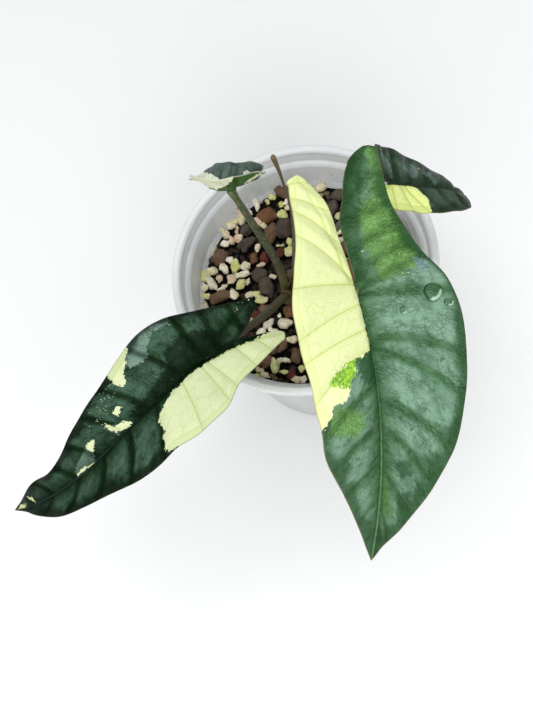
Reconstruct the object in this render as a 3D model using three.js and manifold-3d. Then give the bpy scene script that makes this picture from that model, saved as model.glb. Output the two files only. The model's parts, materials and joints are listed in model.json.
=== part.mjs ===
// Potted variegated alocasia: a young arrow-leaved aroid in a clear nursery pot.
// Millimetres, +Z up. The origin is the centre of the underside of the pot.
import * as THREE from 'three';
import { mergeVertices } from 'three/addons/utils/BufferGeometryUtils.js';
import Module from 'manifold-3d';

const wasm = await Module();
wasm.setup();

// Driving dimensions
const GAP = 0.3;                // clearance between neighbours that touch
const POT_HEIGHT = 95;
const RIM_RADIUS = 55;          // an 11 cm pot
const RIM_THICKNESS = 1.2;
const RIM_LIP_DROP = 3;         // the rim's turned-down edge
const COLLAR_RADIUS = 51.4;     // inside of the stepped collar under the rim
const LEDGE_RADIUS = 48.6;      // inside of the wall where the collar steps in
const LEDGE_Z = 87.6;
const FLOOR_RADIUS = 41;        // inside of the wall at the floor
const WALL = 1;
const FLOOR = 1.5;
const POT_SEGMENTS = 48;
const DRAIN_HOLES = 8;
const DRAIN_RADIUS = 3.5;
const DRAIN_RING = 28;

const SOIL_Z = 76.4;            // mean level of the mix
const STONES = 100;
const STONE_FIELD = 45.5;       // radius that the stones' centres cover
const CLAY_EVERY = 6;           // every sixth stone is a large clay or lava lump
const STONE_DETAIL = 0.12;      // slivers below this size are merged where stones meet

const CROWN = new THREE.Vector3(-5.5, -5.5, 0);
const CROWN_TOP = 78;
const CROWN_RING = 4;           // the stalks stand on a circle of this radius
const ROOTS = 6;

const BLADE_THICKNESS = 0.8;
const RIB_DEPTH = 1.1;          // the midrib stands this far out of the underside
const RIB_WIDTH = 1.7;

// Small helpers

const radians = THREE.MathUtils.degToRad;

function solidFrom(geometry) {
  const bare = geometry.clone();
  bare.deleteAttribute('normal');
  bare.deleteAttribute('uv');
  const merged = mergeVertices(bare, 1e-4);
  return new wasm.Manifold(new wasm.Mesh({
    numProp: 3,
    vertProperties: new Float32Array(merged.attributes.position.array),
    triVerts: new Uint32Array(merged.index.array),
  }));
}

function geometryFrom(solid) {
  const mesh = solid.getMesh();
  const geometry = new THREE.BufferGeometry();
  geometry.setAttribute('position', new THREE.BufferAttribute(mesh.vertProperties, 3));
  geometry.setIndex(new THREE.BufferAttribute(mesh.triVerts, 1));
  return geometry;
}

// The largest connected body of a solid, without loose scraps
function mainBody(solid) {
  const bodies = solid.decompose();
  return bodies.reduce((best, body) => (body.volume() > best.volume() ? body : best));
}

// A repeatable value from 0 to 1 for item i of a series
function chance(i, series) {
  const x = Math.sin(i * 12.9898 + series * 78.233) * 43758.5453;
  return x - Math.floor(x);
}

// Smooth curve through (xs, ys), read at x
function smooth(xs, ys, x) {
  const last = xs.length - 1;
  const at = Math.min(Math.max(x, xs[0]), xs[last]);
  const slope = (i) => {
    const a = Math.max(i - 1, 0);
    const b = Math.min(i + 1, last);
    return (ys[b] - ys[a]) / (xs[b] - xs[a]);
  };
  let i = 0;
  while (i < last - 1 && at >= xs[i + 1]) i += 1;
  const h = xs[i + 1] - xs[i];
  const t = (at - xs[i]) / h;
  const t2 = t * t;
  const t3 = t2 * t;
  return (2 * t3 - 3 * t2 + 1) * ys[i] + (t3 - 2 * t2 + t) * h * slope(i)
    + (3 * t2 - 2 * t3) * ys[i + 1] + (t3 - t2) * h * slope(i + 1);
}

function throughPairs(pairs, x) {
  return smooth(pairs.map((p) => p[0]), pairs.map((p) => p[1]), x);
}

function turned(profile, segments) {
  const points = profile.map(([radius, z]) => new THREE.Vector2(radius, z));
  const geometry = new THREE.LatheGeometry(points, segments);
  geometry.rotateX(Math.PI / 2);
  return geometry;
}

// A round stalk along a curve, with a radius that changes from base to top, closed at both ends
function taperedRod(points, radiusAt, steps, sides) {
  const curve = new THREE.CatmullRomCurve3(points);
  const frames = curve.computeFrenetFrames(steps, false);
  const positions = [];
  const index = [];
  for (let j = 0; j <= steps; j += 1) {
    const centre = curve.getPointAt(j / steps);
    const radius = radiusAt(j / steps);
    for (let i = 0; i < sides; i += 1) {
      const angle = (2 * Math.PI * i) / sides;
      const across = frames.normals[j].clone().multiplyScalar(Math.cos(angle) * radius);
      const along = frames.binormals[j].clone().multiplyScalar(Math.sin(angle) * radius);
      positions.push(...centre.clone().add(across).add(along).toArray());
    }
  }
  const ring = (j, i) => j * sides + (i % sides);
  for (let j = 0; j < steps; j += 1) {
    for (let i = 0; i < sides; i += 1) {
      index.push(ring(j, i), ring(j, i + 1), ring(j + 1, i + 1));
      index.push(ring(j, i), ring(j + 1, i + 1), ring(j + 1, i));
    }
  }
  for (let i = 1; i < sides - 1; i += 1) {
    index.push(ring(0, 0), ring(0, i + 1), ring(0, i));
    index.push(ring(steps, 0), ring(steps, i), ring(steps, i + 1));
  }
  const geometry = new THREE.BufferGeometry();
  geometry.setAttribute('position', new THREE.Float32BufferAttribute(positions, 3));
  geometry.setIndex(index);
  return geometry;
}

const object = new THREE.Group();

function addPiece(name, geometry, color, roughness) {
  const material = new THREE.MeshStandardMaterial({ color, roughness, metalness: 0 });
  const mesh = new THREE.Mesh(geometry, material);
  mesh.name = name;
  object.add(mesh);
  return mesh;
}

// Pot: one thin shell, turned, with a ring of drainage holes round the solid centre of the floor

function innerWallRadius(z) {
  return FLOOR_RADIUS + ((LEDGE_RADIUS - FLOOR_RADIUS) * (z - FLOOR)) / (LEDGE_Z - FLOOR);
}

function potShell() {
  const collarFoot = LEDGE_Z + 1;
  const shell = solidFrom(turned([
    [0, 0],
    [FLOOR_RADIUS, 0],
    [FLOOR_RADIUS + WALL, 1],
    [LEDGE_RADIUS + WALL, LEDGE_Z - 0.8],
    [COLLAR_RADIUS + WALL, collarFoot],
    [COLLAR_RADIUS + WALL + 0.5, POT_HEIGHT - RIM_THICKNESS],
    [RIM_RADIUS - RIM_THICKNESS, POT_HEIGHT - RIM_THICKNESS],
    [RIM_RADIUS - RIM_THICKNESS, POT_HEIGHT - RIM_LIP_DROP],
    [RIM_RADIUS, POT_HEIGHT - RIM_LIP_DROP],
    [RIM_RADIUS, POT_HEIGHT - 0.6],
    [RIM_RADIUS - 0.6, POT_HEIGHT],
    [COLLAR_RADIUS + 0.9, POT_HEIGHT],
    [COLLAR_RADIUS, POT_HEIGHT - 1],
    [COLLAR_RADIUS - 0.3, collarFoot],
    [LEDGE_RADIUS, LEDGE_Z],
    [FLOOR_RADIUS, FLOOR],
    [0, FLOOR],
  ], POT_SEGMENTS));
  let pot = shell;
  for (let i = 0; i < DRAIN_HOLES; i += 1) {
    const angle = (2 * Math.PI * i) / DRAIN_HOLES;
    const drill = new THREE.CylinderGeometry(DRAIN_RADIUS, DRAIN_RADIUS, 4 * FLOOR, 12);
    drill.rotateX(Math.PI / 2);
    drill.translate(DRAIN_RING * Math.cos(angle), DRAIN_RING * Math.sin(angle), FLOOR / 2);
    pot = pot.subtract(solidFrom(drill));
  }
  return pot;
}

// Crown: the short upright stem with its fleshy roots, one grown piece.
// With clearance it is the hole that it stands in.

function crown(clearance) {
  const c = clearance;
  const corm = turned([
    [0, 56 - c],
    [4.2, 57.5 - c],
    [7 + c, 62],
    [7.6 + c, 67],
    [6.6 + c, 72],
    [6.1 + c, 75],
    [6.4 + c, CROWN_TOP - 0.6 + c],
    [5.9 + c, CROWN_TOP + c],
    [0, CROWN_TOP + c],
  ], 16);
  corm.translate(CROWN.x, CROWN.y, 0);
  let solid = solidFrom(corm);
  for (let i = 0; i < ROOTS; i += 1) {
    const heading = (2 * Math.PI * (i + 0.4 * chance(i, 1))) / ROOTS;
    const reach = 20 + 9 * chance(i, 2);
    const outward = (distance, z) => new THREE.Vector3(
      CROWN.x + distance * Math.cos(heading + distance * 0.01),
      CROWN.y + distance * Math.sin(heading + distance * 0.01),
      z,
    );
    const tipDrop = 30 + 14 * chance(i, 3);
    const points = [
      outward(3, 62), outward(reach * 0.45, 58 - 0.2 * tipDrop),
      outward(reach * 0.8, 58 - 0.6 * tipDrop), outward(reach + c * 0.5, 58 - tipDrop - c),
    ];
    const root = taperedRod(points, (t) => 1.5 - 0.9 * t + c, 6, 6);
    solid = solid.add(solidFrom(root));
  }
  return solid;
}

// Substrate: the filling of the pot, with its pumice and clay stones standing out of the top

function stone(i) {
  const clay = i % CLAY_EVERY === 2;
  const size = clay ? 4.4 + 1.5 * chance(i, 1) : 2.2 + 1.5 * chance(i, 1);
  const shape = new THREE.IcosahedronGeometry(size, clay ? 1 : 0);
  const long = clay ? 1.1 : 1.25 + 0.35 * chance(i, 2);
  shape.scale(long, 0.95, clay ? 0.85 : 0.8);
  shape.rotateX(0.8 * (chance(i, 3) - 0.5));
  shape.rotateZ(2 * Math.PI * chance(i, 4));
  const turn = i * Math.PI * (3 - Math.sqrt(5));
  const distance = STONE_FIELD * Math.sqrt((i + 0.5) / STONES);
  const x = distance * Math.cos(turn) + 2.4 * (chance(i, 5) - 0.5);
  const y = distance * Math.sin(turn) + 2.4 * (chance(i, 6) - 0.5);
  shape.translate(x, y, SOIL_Z - 0.25 * size + 1.2 * chance(i, 7));
  return { shape, clearOfCrown: Math.hypot(x - CROWN.x, y - CROWN.y) > 6.6 + size * 0.7 };
}

function substrate() {
  const foot = FLOOR + GAP;
  const top = SOIL_Z - 1.4;
  let mix = solidFrom(turned([
    [0, foot],
    [innerWallRadius(foot) - GAP, foot],
    [innerWallRadius(top) - GAP, top],
    [0, top],
  ], POT_SEGMENTS));
  const stones = [];
  for (let i = 0; i < STONES; i += 1) {
    const placed = stone(i);
    if (placed.clearOfCrown) stones.push(solidFrom(placed.shape));
  }
  mix = mix.add(wasm.Manifold.union(stones));
  const lid = POT_HEIGHT - 8;
  const inside = solidFrom(turned([
    [0, 0],
    [innerWallRadius(0) - GAP, 0],
    [innerWallRadius(lid) - GAP, lid],
    [0, lid],
  ], POT_SEGMENTS));
  return mainBody(mix.intersect(inside).subtract(crown(GAP)).simplify(STONE_DETAIL));
}

// Leaves. A blade is a flat arrow-shaped outline bent along its midrib. v runs along the midrib
// from the sinus, where the stalk joins, to the tip, and is negative in the two basal lobes.
// u runs out from the midrib. Each half has its own outline, fold and droop; the first half is
// the left one, looking towards the tip. Side veins are given by where they leave the midrib.

const leaf1 = {
  sinus: new THREE.Vector3(26, -41.4, 171),
  length: 97,
  heading: [-75, -92, -109],
  pitch: [-20, -34, -52],
  roll: 0,
  veins: [5.5, 14, 23, 34.5, 46, 58, 70, 82],
  halves: [
    {
      lobe: 38.2, rise: 4, curl: -3, fold: [0, -4, -6, -4],
      outer: [[-38.2, 14.4], [-36.7, 17.2], [-31, 18.2], [-20, 17.2], [-10.8, 19.8], [-2.4, 22.8],
        [6, 27.6], [16, 29.2], [34.4, 27.3], [52.5, 22.6], [66.6, 15.4], [78.5, 8.8], [88, 3.4], [97, 0]],
      inner: [[-38.2, 14.4], [-36, 9.7], [-29.4, 5.4], [-19, 1.6], [-9, 0.7], [0, 0.4]],
      lobeVeins: [-25, -14, -5],
    },
    {
      lobe: 35.8, rise: -8, curl: 0, fold: [30, 38, 36, 20],
      outer: [[-35.8, 8], [-34.4, 11], [-24.8, 13.8], [-15.9, 16], [-8.4, 20.2], [1, 24.1],
        [9, 25.4], [23.5, 24], [38.2, 21.7], [52.6, 18.8], [66, 12.4], [79, 6.9], [97, 0]],
      inner: [[-35.8, 8], [-31.5, 4.3], [-24.3, 1.3], [-12, 0.7], [0, 0.4]],
      lobeVeins: [-22, -10, -1],
    },
  ],
};

const leaf2 = {
  sinus: new THREE.Vector3(-33.6, -47, 121),
  length: 106,
  heading: [-142, -143, -180],
  pitch: [-4, -16, -34],
  roll: 0,
  veins: [4, 16, 29, 43, 57, 71, 85, 96],
  halves: [
    {
      lobe: 29.4, rise: -6, curl: 0, fold: [10, 12, 8, 8],
      outer: [[-29.4, 13.9], [-27.5, 16], [-14.9, 16.8], [-4.3, 18.4], [4, 22.2], [16.8, 22.3],
        [28, 20.2], [41.6, 19.5], [53.7, 15.5], [66.6, 11.8], [77, 10], [89, 5.4], [98, 1.6], [106, 0]],
      inner: [[-29.4, 13.9], [-27.3, 11.6], [-20.6, 8], [-13.9, 3.7], [-9, 2.6], [-5, 1.6], [0, 0.4]],
      lobeVeins: [-19, -8],
    },
    {
      lobe: 28.5, rise: -6, curl: -8, fold: [10, 22, 14, 8],
      outer: [[-28.5, 5.7], [-25.3, 7], [-18.5, 10.8], [-7.8, 16.7], [2.7, 21.9], [14.1, 23.6],
        [30.3, 20.4], [54.1, 16.1], [67, 11.8], [78, 8.5], [89.8, 8.5], [98, 5.2], [106, 0]],
      inner: [[-28.5, 5.7], [-27.4, 2.5], [-24.5, 0.6], [-19.7, -1.6], [-13.9, -2.5], [-9, -1.6], [0, 0.2]],
      lobeVeins: [-18, -8],
    },
  ],
};

// The two small leaves share one outline, drawn for a midrib of 97 and scaled
const SMALL_LENGTH = 97;
const SMALL_OUTER = [[-38, 13], [-34, 18.4], [-24, 21.6], [-12, 23.6], [0, 25.4], [12, 26.8], [24, 26.6],
  [38, 24.8], [52, 21.6], [66, 15.4], [80, 8], [90, 2.8], [97, 0]];
const SMALL_INNER = [[-38, 13], [-35, 8.6], [-27, 4.6], [-19, 2.4], [-9, 1.6], [0, 1.2]];
const SMALL_VEINS = [5, 20, 38, 56, 76];

function smallHalf(length, width, bend) {
  const scale = length / SMALL_LENGTH;
  return {
    lobe: 38 * scale,
    outer: SMALL_OUTER.map(([v, u]) => [v * scale, u * scale * width]),
    inner: SMALL_INNER.map(([v, u]) => [v * scale, u * scale * width]),
    lobeVeins: [-24 * scale, -10 * scale],
    ...bend,
  };
}

function smallLeaf(length, place, leftWidth, leftBend, rightWidth, rightBend) {
  return {
    length,
    veins: SMALL_VEINS.map((v) => (v * length) / SMALL_LENGTH),
    halves: [smallHalf(length, leftWidth, leftBend), smallHalf(length, rightWidth, rightBend)],
    ...place,
  };
}

const leaf3 = smallLeaf(
  38,
  { sinus: new THREE.Vector3(-17.7, 10.9, 142), heading: [171, 140, 157], pitch: [-22, -36, -46], roll: 2 },
  0.72, { rise: 6, curl: 0, fold: [118, 86, 66, 60] },
  1, { rise: 6, curl: 0, fold: [46, 4, 0, -12] },
);

const leaf4 = smallLeaf(
  45,
  { sinus: new THREE.Vector3(37.7, 6.8, 142), heading: [18, 12, -14], pitch: [-50, -42, -66], roll: 30 },
  1.05, { rise: -35, curl: 0, fold: [15, 15, 14, 4] },
  0.85, { rise: -35, curl: 0, fold: [-8, -8, -4, 0] },
);

// Place and directions of the midrib at v: along it, across to the right, and out of its top
function spine(leaf, half, v) {
  const step = 0.5;
  const headingAt = (w) => (w >= 0 ? smooth([0, 0.5, 1], leaf.heading, w / leaf.length) : leaf.heading[0]);
  const pitchAt = (w) => (w >= 0 ? smooth([0, 0.5, 1], leaf.pitch, w / leaf.length)
    : leaf.pitch[0] + (half.rise * -w) / half.lobe);
  const along = (w) => {
    const heading = radians(headingAt(w));
    const pitch = radians(pitchAt(w));
    return new THREE.Vector3(
      Math.cos(pitch) * Math.cos(heading), Math.cos(pitch) * Math.sin(heading), Math.sin(pitch),
    );
  };
  const place = leaf.sinus.clone();
  const steps = Math.max(1, Math.round(Math.abs(v) / step));
  for (let i = 0; i < steps; i += 1) {
    place.addScaledVector(along((v * (i + 0.5)) / steps), v / steps);
  }
  const forward = along(v);
  const heading = radians(headingAt(v));
  const level = new THREE.Vector3(Math.sin(heading), -Math.cos(heading), 0);
  const up = level.clone().cross(forward);
  const roll = radians(leaf.roll * Math.min(Math.max(v / leaf.length, 0), 1));
  const right = level.clone().multiplyScalar(Math.cos(roll)).addScaledVector(up, Math.sin(roll));
  const out = up.clone().multiplyScalar(Math.cos(roll)).addScaledVector(level, -Math.sin(roll));
  return { place, right, out };
}

// A side vein leaves the midrib almost square at its root and sweeps towards the tip. In the
// lobes it runs square to the lobe. The factors hold for a blade of FULL_LENGTH.
const FULL_LENGTH = 97;
const VEIN_START = [0.1, 0.009];      // slope and bend of the vein that leaves at the sinus
const VEIN_FORWARD = [0.011, 0.001];  // how much they grow for each mm towards the tip
const VEIN_BACKWARD = [-0.0066, 0.00024];

// How far the vein from this root has swept at u
function sweep(leaf, root, u) {
  const k = leaf.length / FULL_LENGTH;
  const [slope, bend] = root >= 0 ? VEIN_FORWARD : VEIN_BACKWARD;
  const w = u / k;
  return k * ((VEIN_START[0] + (slope * root) / k) * w + (VEIN_START[1] + (bend * root) / k) * w * w);
}

// The root of the vein through a point
function rootOf(leaf, v, u) {
  const k = leaf.length / FULL_LENGTH;
  const w = u / k;
  const level = v / k - VEIN_START[0] * w - VEIN_START[1] * w * w;
  const [slope, bend] = level >= 0 ? VEIN_FORWARD : VEIN_BACKWARD;
  return (k * level) / (1 + slope * w + bend * w * w);
}

// Distance to the midrib or, in a lobe, to the lobe's own rib
function ribDistance(half, v, u) {
  if (v >= 0) return Math.abs(u);
  const tipU = half.outer[0][1];
  const back = Math.min(-v / half.lobe, 1);
  return Math.abs(u - 2.5 - (tipU - 2.5) * back ** 1.5);
}

function veinDistance(leaf, half, v, u) {
  const root = rootOf(leaf, v, u);
  const fromVeins = [...half.lobeVeins, ...leaf.veins].map((vein) => Math.abs(root - vein));
  return Math.min(ribDistance(half, v, u), ...fromVeins);
}

// Height of the blade over its plain bent form: pads between the sunken veins, and a waved edge
function relief(leaf, half, v, u, s) {
  const scale = Math.min(1, leaf.length / 90 + 0.15);
  const furrow = Math.exp(-((veinDistance(leaf, half, v, u) / (2.6 * scale)) ** 2));
  const pads = 0.9 * scale * (1 - furrow) * (1 - s ** 4);
  const wave = 0.5 * scale * s ** 3 * Math.sin(v / (2.6 * scale) + half.lobe);
  return (pads + wave) * Math.min(1, Math.abs(u) / 2);
}

const outerAt = (half, v) => Math.max(throughPairs(half.outer, v), 0);
const innerAt = (half, v) => (v < 0 ? throughPairs(half.inner, v) : 0);

// s is how far the point lies from the inner to the outer margin
function onBlade(leaf, side, v, u, s) {
  const half = leaf.halves[side];
  const { place, right, out } = spine(leaf, half, v);
  const t = v >= 0 ? v / leaf.length : v / half.lobe;
  const fold = radians(smooth([-1, 0, 0.5, 1], half.fold, t));
  const curl = radians(half.curl || 0.01) / 10;
  const reach = (Math.sin(fold + curl * u) - Math.sin(fold)) / curl;
  const lift = (Math.cos(fold) - Math.cos(fold + curl * u)) / curl;
  const sign = side === 1 ? 1 : -1;
  const height = relief(leaf, half, v, u, s);
  return place
    .addScaledVector(right, sign * (reach - height * Math.sin(fold)))
    .addScaledVector(out, lift + height * Math.cos(fold));
}

// Where the line of a side vein with this root enters and leaves the half's outline
function rowSpan(leaf, half, root) {
  const step = 0.05;
  const widest = 40;
  let start = null;
  let end = null;
  for (let u = -4; u <= widest; u += step) {
    const v = root + sweep(leaf, root, u);
    const inside = v >= -half.lobe && u >= innerAt(half, v) && u <= outerAt(half, v);
    if (inside && start === null) start = u;
    if (inside) end = u;
    if (!inside && start !== null) break;
  }
  if (start === null) return [0, 0];
  return root >= 0 ? [0, end] : [start, end];
}

// The point of a lobe's outline that the rows, which follow the side veins, reach first
function lobeEnd(leaf, half) {
  const steps = 60;
  let end = half.outer[0];
  for (let i = 0; i <= steps; i += 1) {
    const v = half.lobe * (i / steps - 1);
    [outerAt(half, v), innerAt(half, v)].forEach((u) => {
      if (rootOf(leaf, v, u) < rootOf(leaf, ...end)) end = [v, u];
    });
  }
  return end;
}

// Rows follow the side veins: closer at the lobe's tip, then one at each vein and between them
function rowRoots(leaf, half, lobeRows) {
  const lobeRoot = rootOf(leaf, ...lobeEnd(leaf, half));
  const roots = [];
  for (let j = 0; j < lobeRows; j += 1) roots.push(lobeRoot * Math.cos((Math.PI / 2) * (j / lobeRows)));
  let from = 0;
  [...leaf.veins, leaf.length].forEach((vein) => {
    roots.push(from, (from + vein) / 2);
    from = vein;
  });
  roots.push(leaf.length);
  return roots;
}

// The leaf's middle surface as one sheet of triangles, then given its thickness.
// Both faces are split alike. With clearance it is the space that a stalk keeps out of.
function blade(leaf, lobeRows, columns, clearance) {
  const places = [];
  const ribs = [];
  const triangles = [];
  const midrib = [];
  const ribSize = RIB_DEPTH * Math.min(1, leaf.length / 70);
  const add = (half, side, v, u, s) => {
    const taper = v >= 0 ? Math.max(0, 1 - v / leaf.length) ** 0.6 : 0.4;
    places.push(onBlade(leaf, side, v, u, s));
    ribs.push(ribSize * taper * Math.exp(-((ribDistance(half, v, u) / RIB_WIDTH) ** 2)));
    return places.length - 1;
  };
  [0, 1].forEach((side) => {
    const half = leaf.halves[side];
    const roots = rowRoots(leaf, half, lobeRows);
    const rows = roots.map((root, j) => {
      if (j === 0) return Array(columns + 1).fill(add(half, side, ...lobeEnd(leaf, half), 0));
      const [start, end] = rowSpan(leaf, half, root);
      const shared = side === 1 && root >= 0 && midrib[j - lobeRows] !== undefined;
      const first = shared ? midrib[j - lobeRows] : add(half, side, root + sweep(leaf, root, start), start, 0);
      if (side === 0 && root >= 0) midrib[j - lobeRows] = first;
      if (j === roots.length - 1) return Array(columns + 1).fill(first);
      const row = [first];
      for (let i = 1; i <= columns; i += 1) {
        const s = (i / columns) ** 1.35;
        const u = start + (end - start) * s;
        row.push(add(half, side, root + sweep(leaf, root, u), u, s));
      }
      return row;
    });
    for (let j = 0; j < rows.length - 1; j += 1) {
      for (let i = 0; i < columns; i += 1) {
        const corners = [rows[j][i], rows[j][i + 1], rows[j + 1][i + 1], rows[j + 1][i]];
        const order = side === 0 ? [0, 2, 1, 0, 3, 2] : [0, 1, 2, 0, 2, 3];
        for (let k = 0; k < 6; k += 3) {
          const triangle = order.slice(k, k + 3).map((n) => corners[n]);
          if (new Set(triangle).size === 3) triangles.push(triangle);
        }
      }
    }
  });
  return thicken(places, ribs, triangles, clearance);
}

function thicken(places, ribs, triangles, clearance) {
  const normals = places.map(() => new THREE.Vector3());
  triangles.forEach(([a, b, c]) => {
    const face = places[b].clone().sub(places[a]).cross(places[c].clone().sub(places[a]));
    [a, b, c].forEach((n) => normals[n].add(face));
  });
  normals.forEach((n) => n.normalize());
  const count = places.length;
  const thickness = BLADE_THICKNESS / 2 + clearance;
  const top = places.map((p, n) => p.clone().addScaledVector(normals[n], thickness));
  const under = places.map((p, n) => p.clone().addScaledVector(normals[n], -thickness - ribs[n]));
  const index = [];
  const edges = new Map();
  triangles.forEach(([a, b, c]) => {
    index.push(a, b, c);
    index.push(a + count, c + count, b + count);
    [[a, b], [b, c], [c, a]].forEach(([p, q]) => edges.set(`${p},${q}`, [p, q]));
  });
  edges.forEach(([p, q]) => {
    if (edges.has(`${q},${p}`)) return;
    index.push(q, p, p + count);
    index.push(q, p + count, q + count);
  });
  const geometry = new THREE.BufferGeometry();
  const positions = [...top, ...under].flatMap((p) => p.toArray());
  geometry.setAttribute('position', new THREE.Float32BufferAttribute(positions, 3));
  geometry.setIndex(index);
  return geometry;
}

// Stalks. Each stands on the crown's top, on a ring round its centre, and ends under its blade,
// a little in front of the sinus, cut to the blade's underside.

function footOf(angle) {
  return new THREE.Vector3(
    CROWN.x + CROWN_RING * Math.cos(radians(angle)),
    CROWN.y + CROWN_RING * Math.sin(radians(angle)),
    CROWN_TOP + GAP,
  );
}

function stalk(leaf, angle, way, baseRadius, topRadius, bladeSolid) {
  const foot = footOf(angle);
  const joint = spine(leaf, leaf.halves[0], topRadius * 1.8).place;
  const points = [foot, foot.clone().setZ(foot.z + 5), ...way, joint];
  const radiusAt = (t) => topRadius + (baseRadius - topRadius) * (1 - t)
    + 0.25 * Math.exp(-((t / 0.06) ** 2));
  const rod = solidFrom(taperedRod(points, radiusAt, 22, 10));
  return mainBody(rod.subtract(bladeSolid));
}

const LEAF_COLOURS = { green: 0x4f7f55, dark: 0x24402c, cream: 0xe6eeb0, stalk: 0x454b33 };
const leaves = [
  {
    name: 'leaf_1', leaf: leaf1, angle: 313, rows: [8, 8], radii: [2.1, 1.6], color: 'green',
    way: [new THREE.Vector3(6, -17, 112), new THREE.Vector3(19, -33, 150)],
  },
  {
    name: 'leaf_2', leaf: leaf2, angle: 235, rows: [7, 7], radii: [1.8, 1.4], color: 'dark',
    way: [new THREE.Vector3(-15.4, -23, 98), new THREE.Vector3(-21.5, -32.6, 109)],
  },
  {
    name: 'leaf_3', leaf: leaf3, angle: 150, rows: [5, 5], radii: [1.75, 1.05], color: 'dark',
    way: [new THREE.Vector3(-11, 2.2, 103), new THREE.Vector3(-15.4, 8.2, 124)],
  },
  {
    name: 'leaf_4', leaf: leaf4, angle: 15, rows: [5, 5], radii: [1.6, 1.05], color: 'dark',
    way: [new THREE.Vector3(8, 0, 105), new THREE.Vector3(26, 6, 130)],
  },
];

addPiece('pot', geometryFrom(potShell()), 0xd9dde0, 0.4);
addPiece('substrate', geometryFrom(substrate()), 0x8a7460, 0.95);
addPiece('crown', geometryFrom(crown(0)), 0x8b6f4a, 0.8);
leaves.forEach(({ name, leaf, angle, rows, radii, color, way }) => {
  const bladeGeometry = blade(leaf, ...rows, 0);
  const keepOut = solidFrom(blade(leaf, ...rows, GAP));
  const stalkSolid = stalk(leaf, angle, way, ...radii, keepOut);
  addPiece(`${name}_blade`, bladeGeometry, LEAF_COLOURS[color], 0.45);
  addPiece(`${name}_stalk`, geometryFrom(stalkSolid), LEAF_COLOURS.stalk, 0.6);
});

// The old leaf's stalk, cut off and dried, with a blunt thicker end
const oldStalkWay = [
  footOf(75), footOf(75).setZ(84), new THREE.Vector3(-2.8, 10, 96), new THREE.Vector3(-1.8, 16.5, 110),
  new THREE.Vector3(-2.6, 20, 127), new THREE.Vector3(-2.7, 19.9, 136), new THREE.Vector3(-3, 19.3, 146),
];
const oldStalkRadius = (t) => 1.2 - 0.65 * Math.min(1, t / 0.7) + 0.5 * Math.max(0, (t - 0.8) / 0.2);
addPiece('old_leaf_stalk', taperedRod(oldStalkWay, oldStalkRadius, 22, 8), 0x6b5f42, 0.85);

export default object;
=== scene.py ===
import json
import math
import random

import bmesh
import bpy
import numpy as np
from mathutils import Matrix, Vector

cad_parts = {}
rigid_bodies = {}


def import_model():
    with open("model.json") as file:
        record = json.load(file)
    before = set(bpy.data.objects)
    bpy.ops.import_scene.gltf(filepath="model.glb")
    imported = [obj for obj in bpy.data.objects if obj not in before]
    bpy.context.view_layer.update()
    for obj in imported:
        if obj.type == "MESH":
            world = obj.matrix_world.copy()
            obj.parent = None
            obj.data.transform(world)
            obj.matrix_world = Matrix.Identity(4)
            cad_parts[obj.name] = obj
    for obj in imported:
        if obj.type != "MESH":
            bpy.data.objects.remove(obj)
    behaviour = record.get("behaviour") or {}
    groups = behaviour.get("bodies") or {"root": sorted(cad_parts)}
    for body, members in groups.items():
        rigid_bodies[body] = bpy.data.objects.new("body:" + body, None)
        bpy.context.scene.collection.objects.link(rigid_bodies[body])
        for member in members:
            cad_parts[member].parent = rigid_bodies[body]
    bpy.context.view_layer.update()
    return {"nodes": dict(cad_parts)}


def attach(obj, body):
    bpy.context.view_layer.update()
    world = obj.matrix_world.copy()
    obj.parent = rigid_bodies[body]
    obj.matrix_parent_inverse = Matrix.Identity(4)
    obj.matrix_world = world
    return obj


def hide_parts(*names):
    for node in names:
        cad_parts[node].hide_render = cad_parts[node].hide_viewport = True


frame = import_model()

MM = 0.001

# The view of the photograph: a hand-held picture taken from above the front edge of the pot,
# so that the pot's floor is hidden and the leaves show their upper faces.

PHOTO_WIDTH = 533                                    # pixels
PHOTO_HEIGHT = 711
FOCAL_PIXELS = 820
CAMERA_PLACE = Vector((40.26, -134.67, 400.40)) * MM
CAMERA_RIGHT = Vector((0.9843, 0.0, -0.1767))
CAMERA_UP = Vector((0.0524, 0.9551, 0.2916))
CAMERA_BACK = Vector((0.1688, -0.2963, 0.9401))

camera_data = bpy.data.cameras.new("camera")
camera_data.lens = camera_data.sensor_width * FOCAL_PIXELS / max(PHOTO_WIDTH, PHOTO_HEIGHT)
camera_data.clip_start = 10 * MM
camera = bpy.data.objects.new("camera", camera_data)
camera.matrix_world = Matrix.Translation(CAMERA_PLACE) @ Matrix(
    (CAMERA_RIGHT, CAMERA_UP, CAMERA_BACK)).transposed().to_4x4()
bpy.context.scene.collection.objects.link(camera)
bpy.context.scene.camera = camera


# Pot: a clear nursery pot of frosted polypropylene, moulded in one piece. It has a rolled rim,
# a stepped collar under it, a wall that narrows to the foot, and eight drainage holes.

POT_HEIGHT = 95 * MM
RIM_RADIUS = 55 * MM
COLLAR_RADIUS = 51.4 * MM
LEDGE_RADIUS = 48.6 * MM
LEDGE_Z = 87.6 * MM
FLOOR_RADIUS = 41 * MM
WALL = 1 * MM
FLOOR = 1.5 * MM
SOIL_Z = 76.4 * MM                                   # the top of the mix
RIM_WALL = 1.2 * MM
RIM_ROLL = 3 * MM                                    # how far the rim is rolled down outside
GAP = 0.3 * MM                                       # left between the wall and what it holds
DRAIN_HOLES = 8
DRAIN_RADIUS = 3.5 * MM
DRAIN_RING = 28 * MM
POT_STEPS = 192                                      # faces round the pot


def new_object(name, mesh, material=None):
    piece = bpy.data.objects.new(name, mesh)
    bpy.context.scene.collection.objects.link(piece)
    if material:
        mesh.materials.append(material)
    return piece


def mesh_from(name, verts, faces):
    mesh = bpy.data.meshes.new(name)
    mesh.from_pydata([tuple(v) for v in verts], [], faces)
    mesh.update()
    mesh.shade_smooth()
    return mesh


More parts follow.
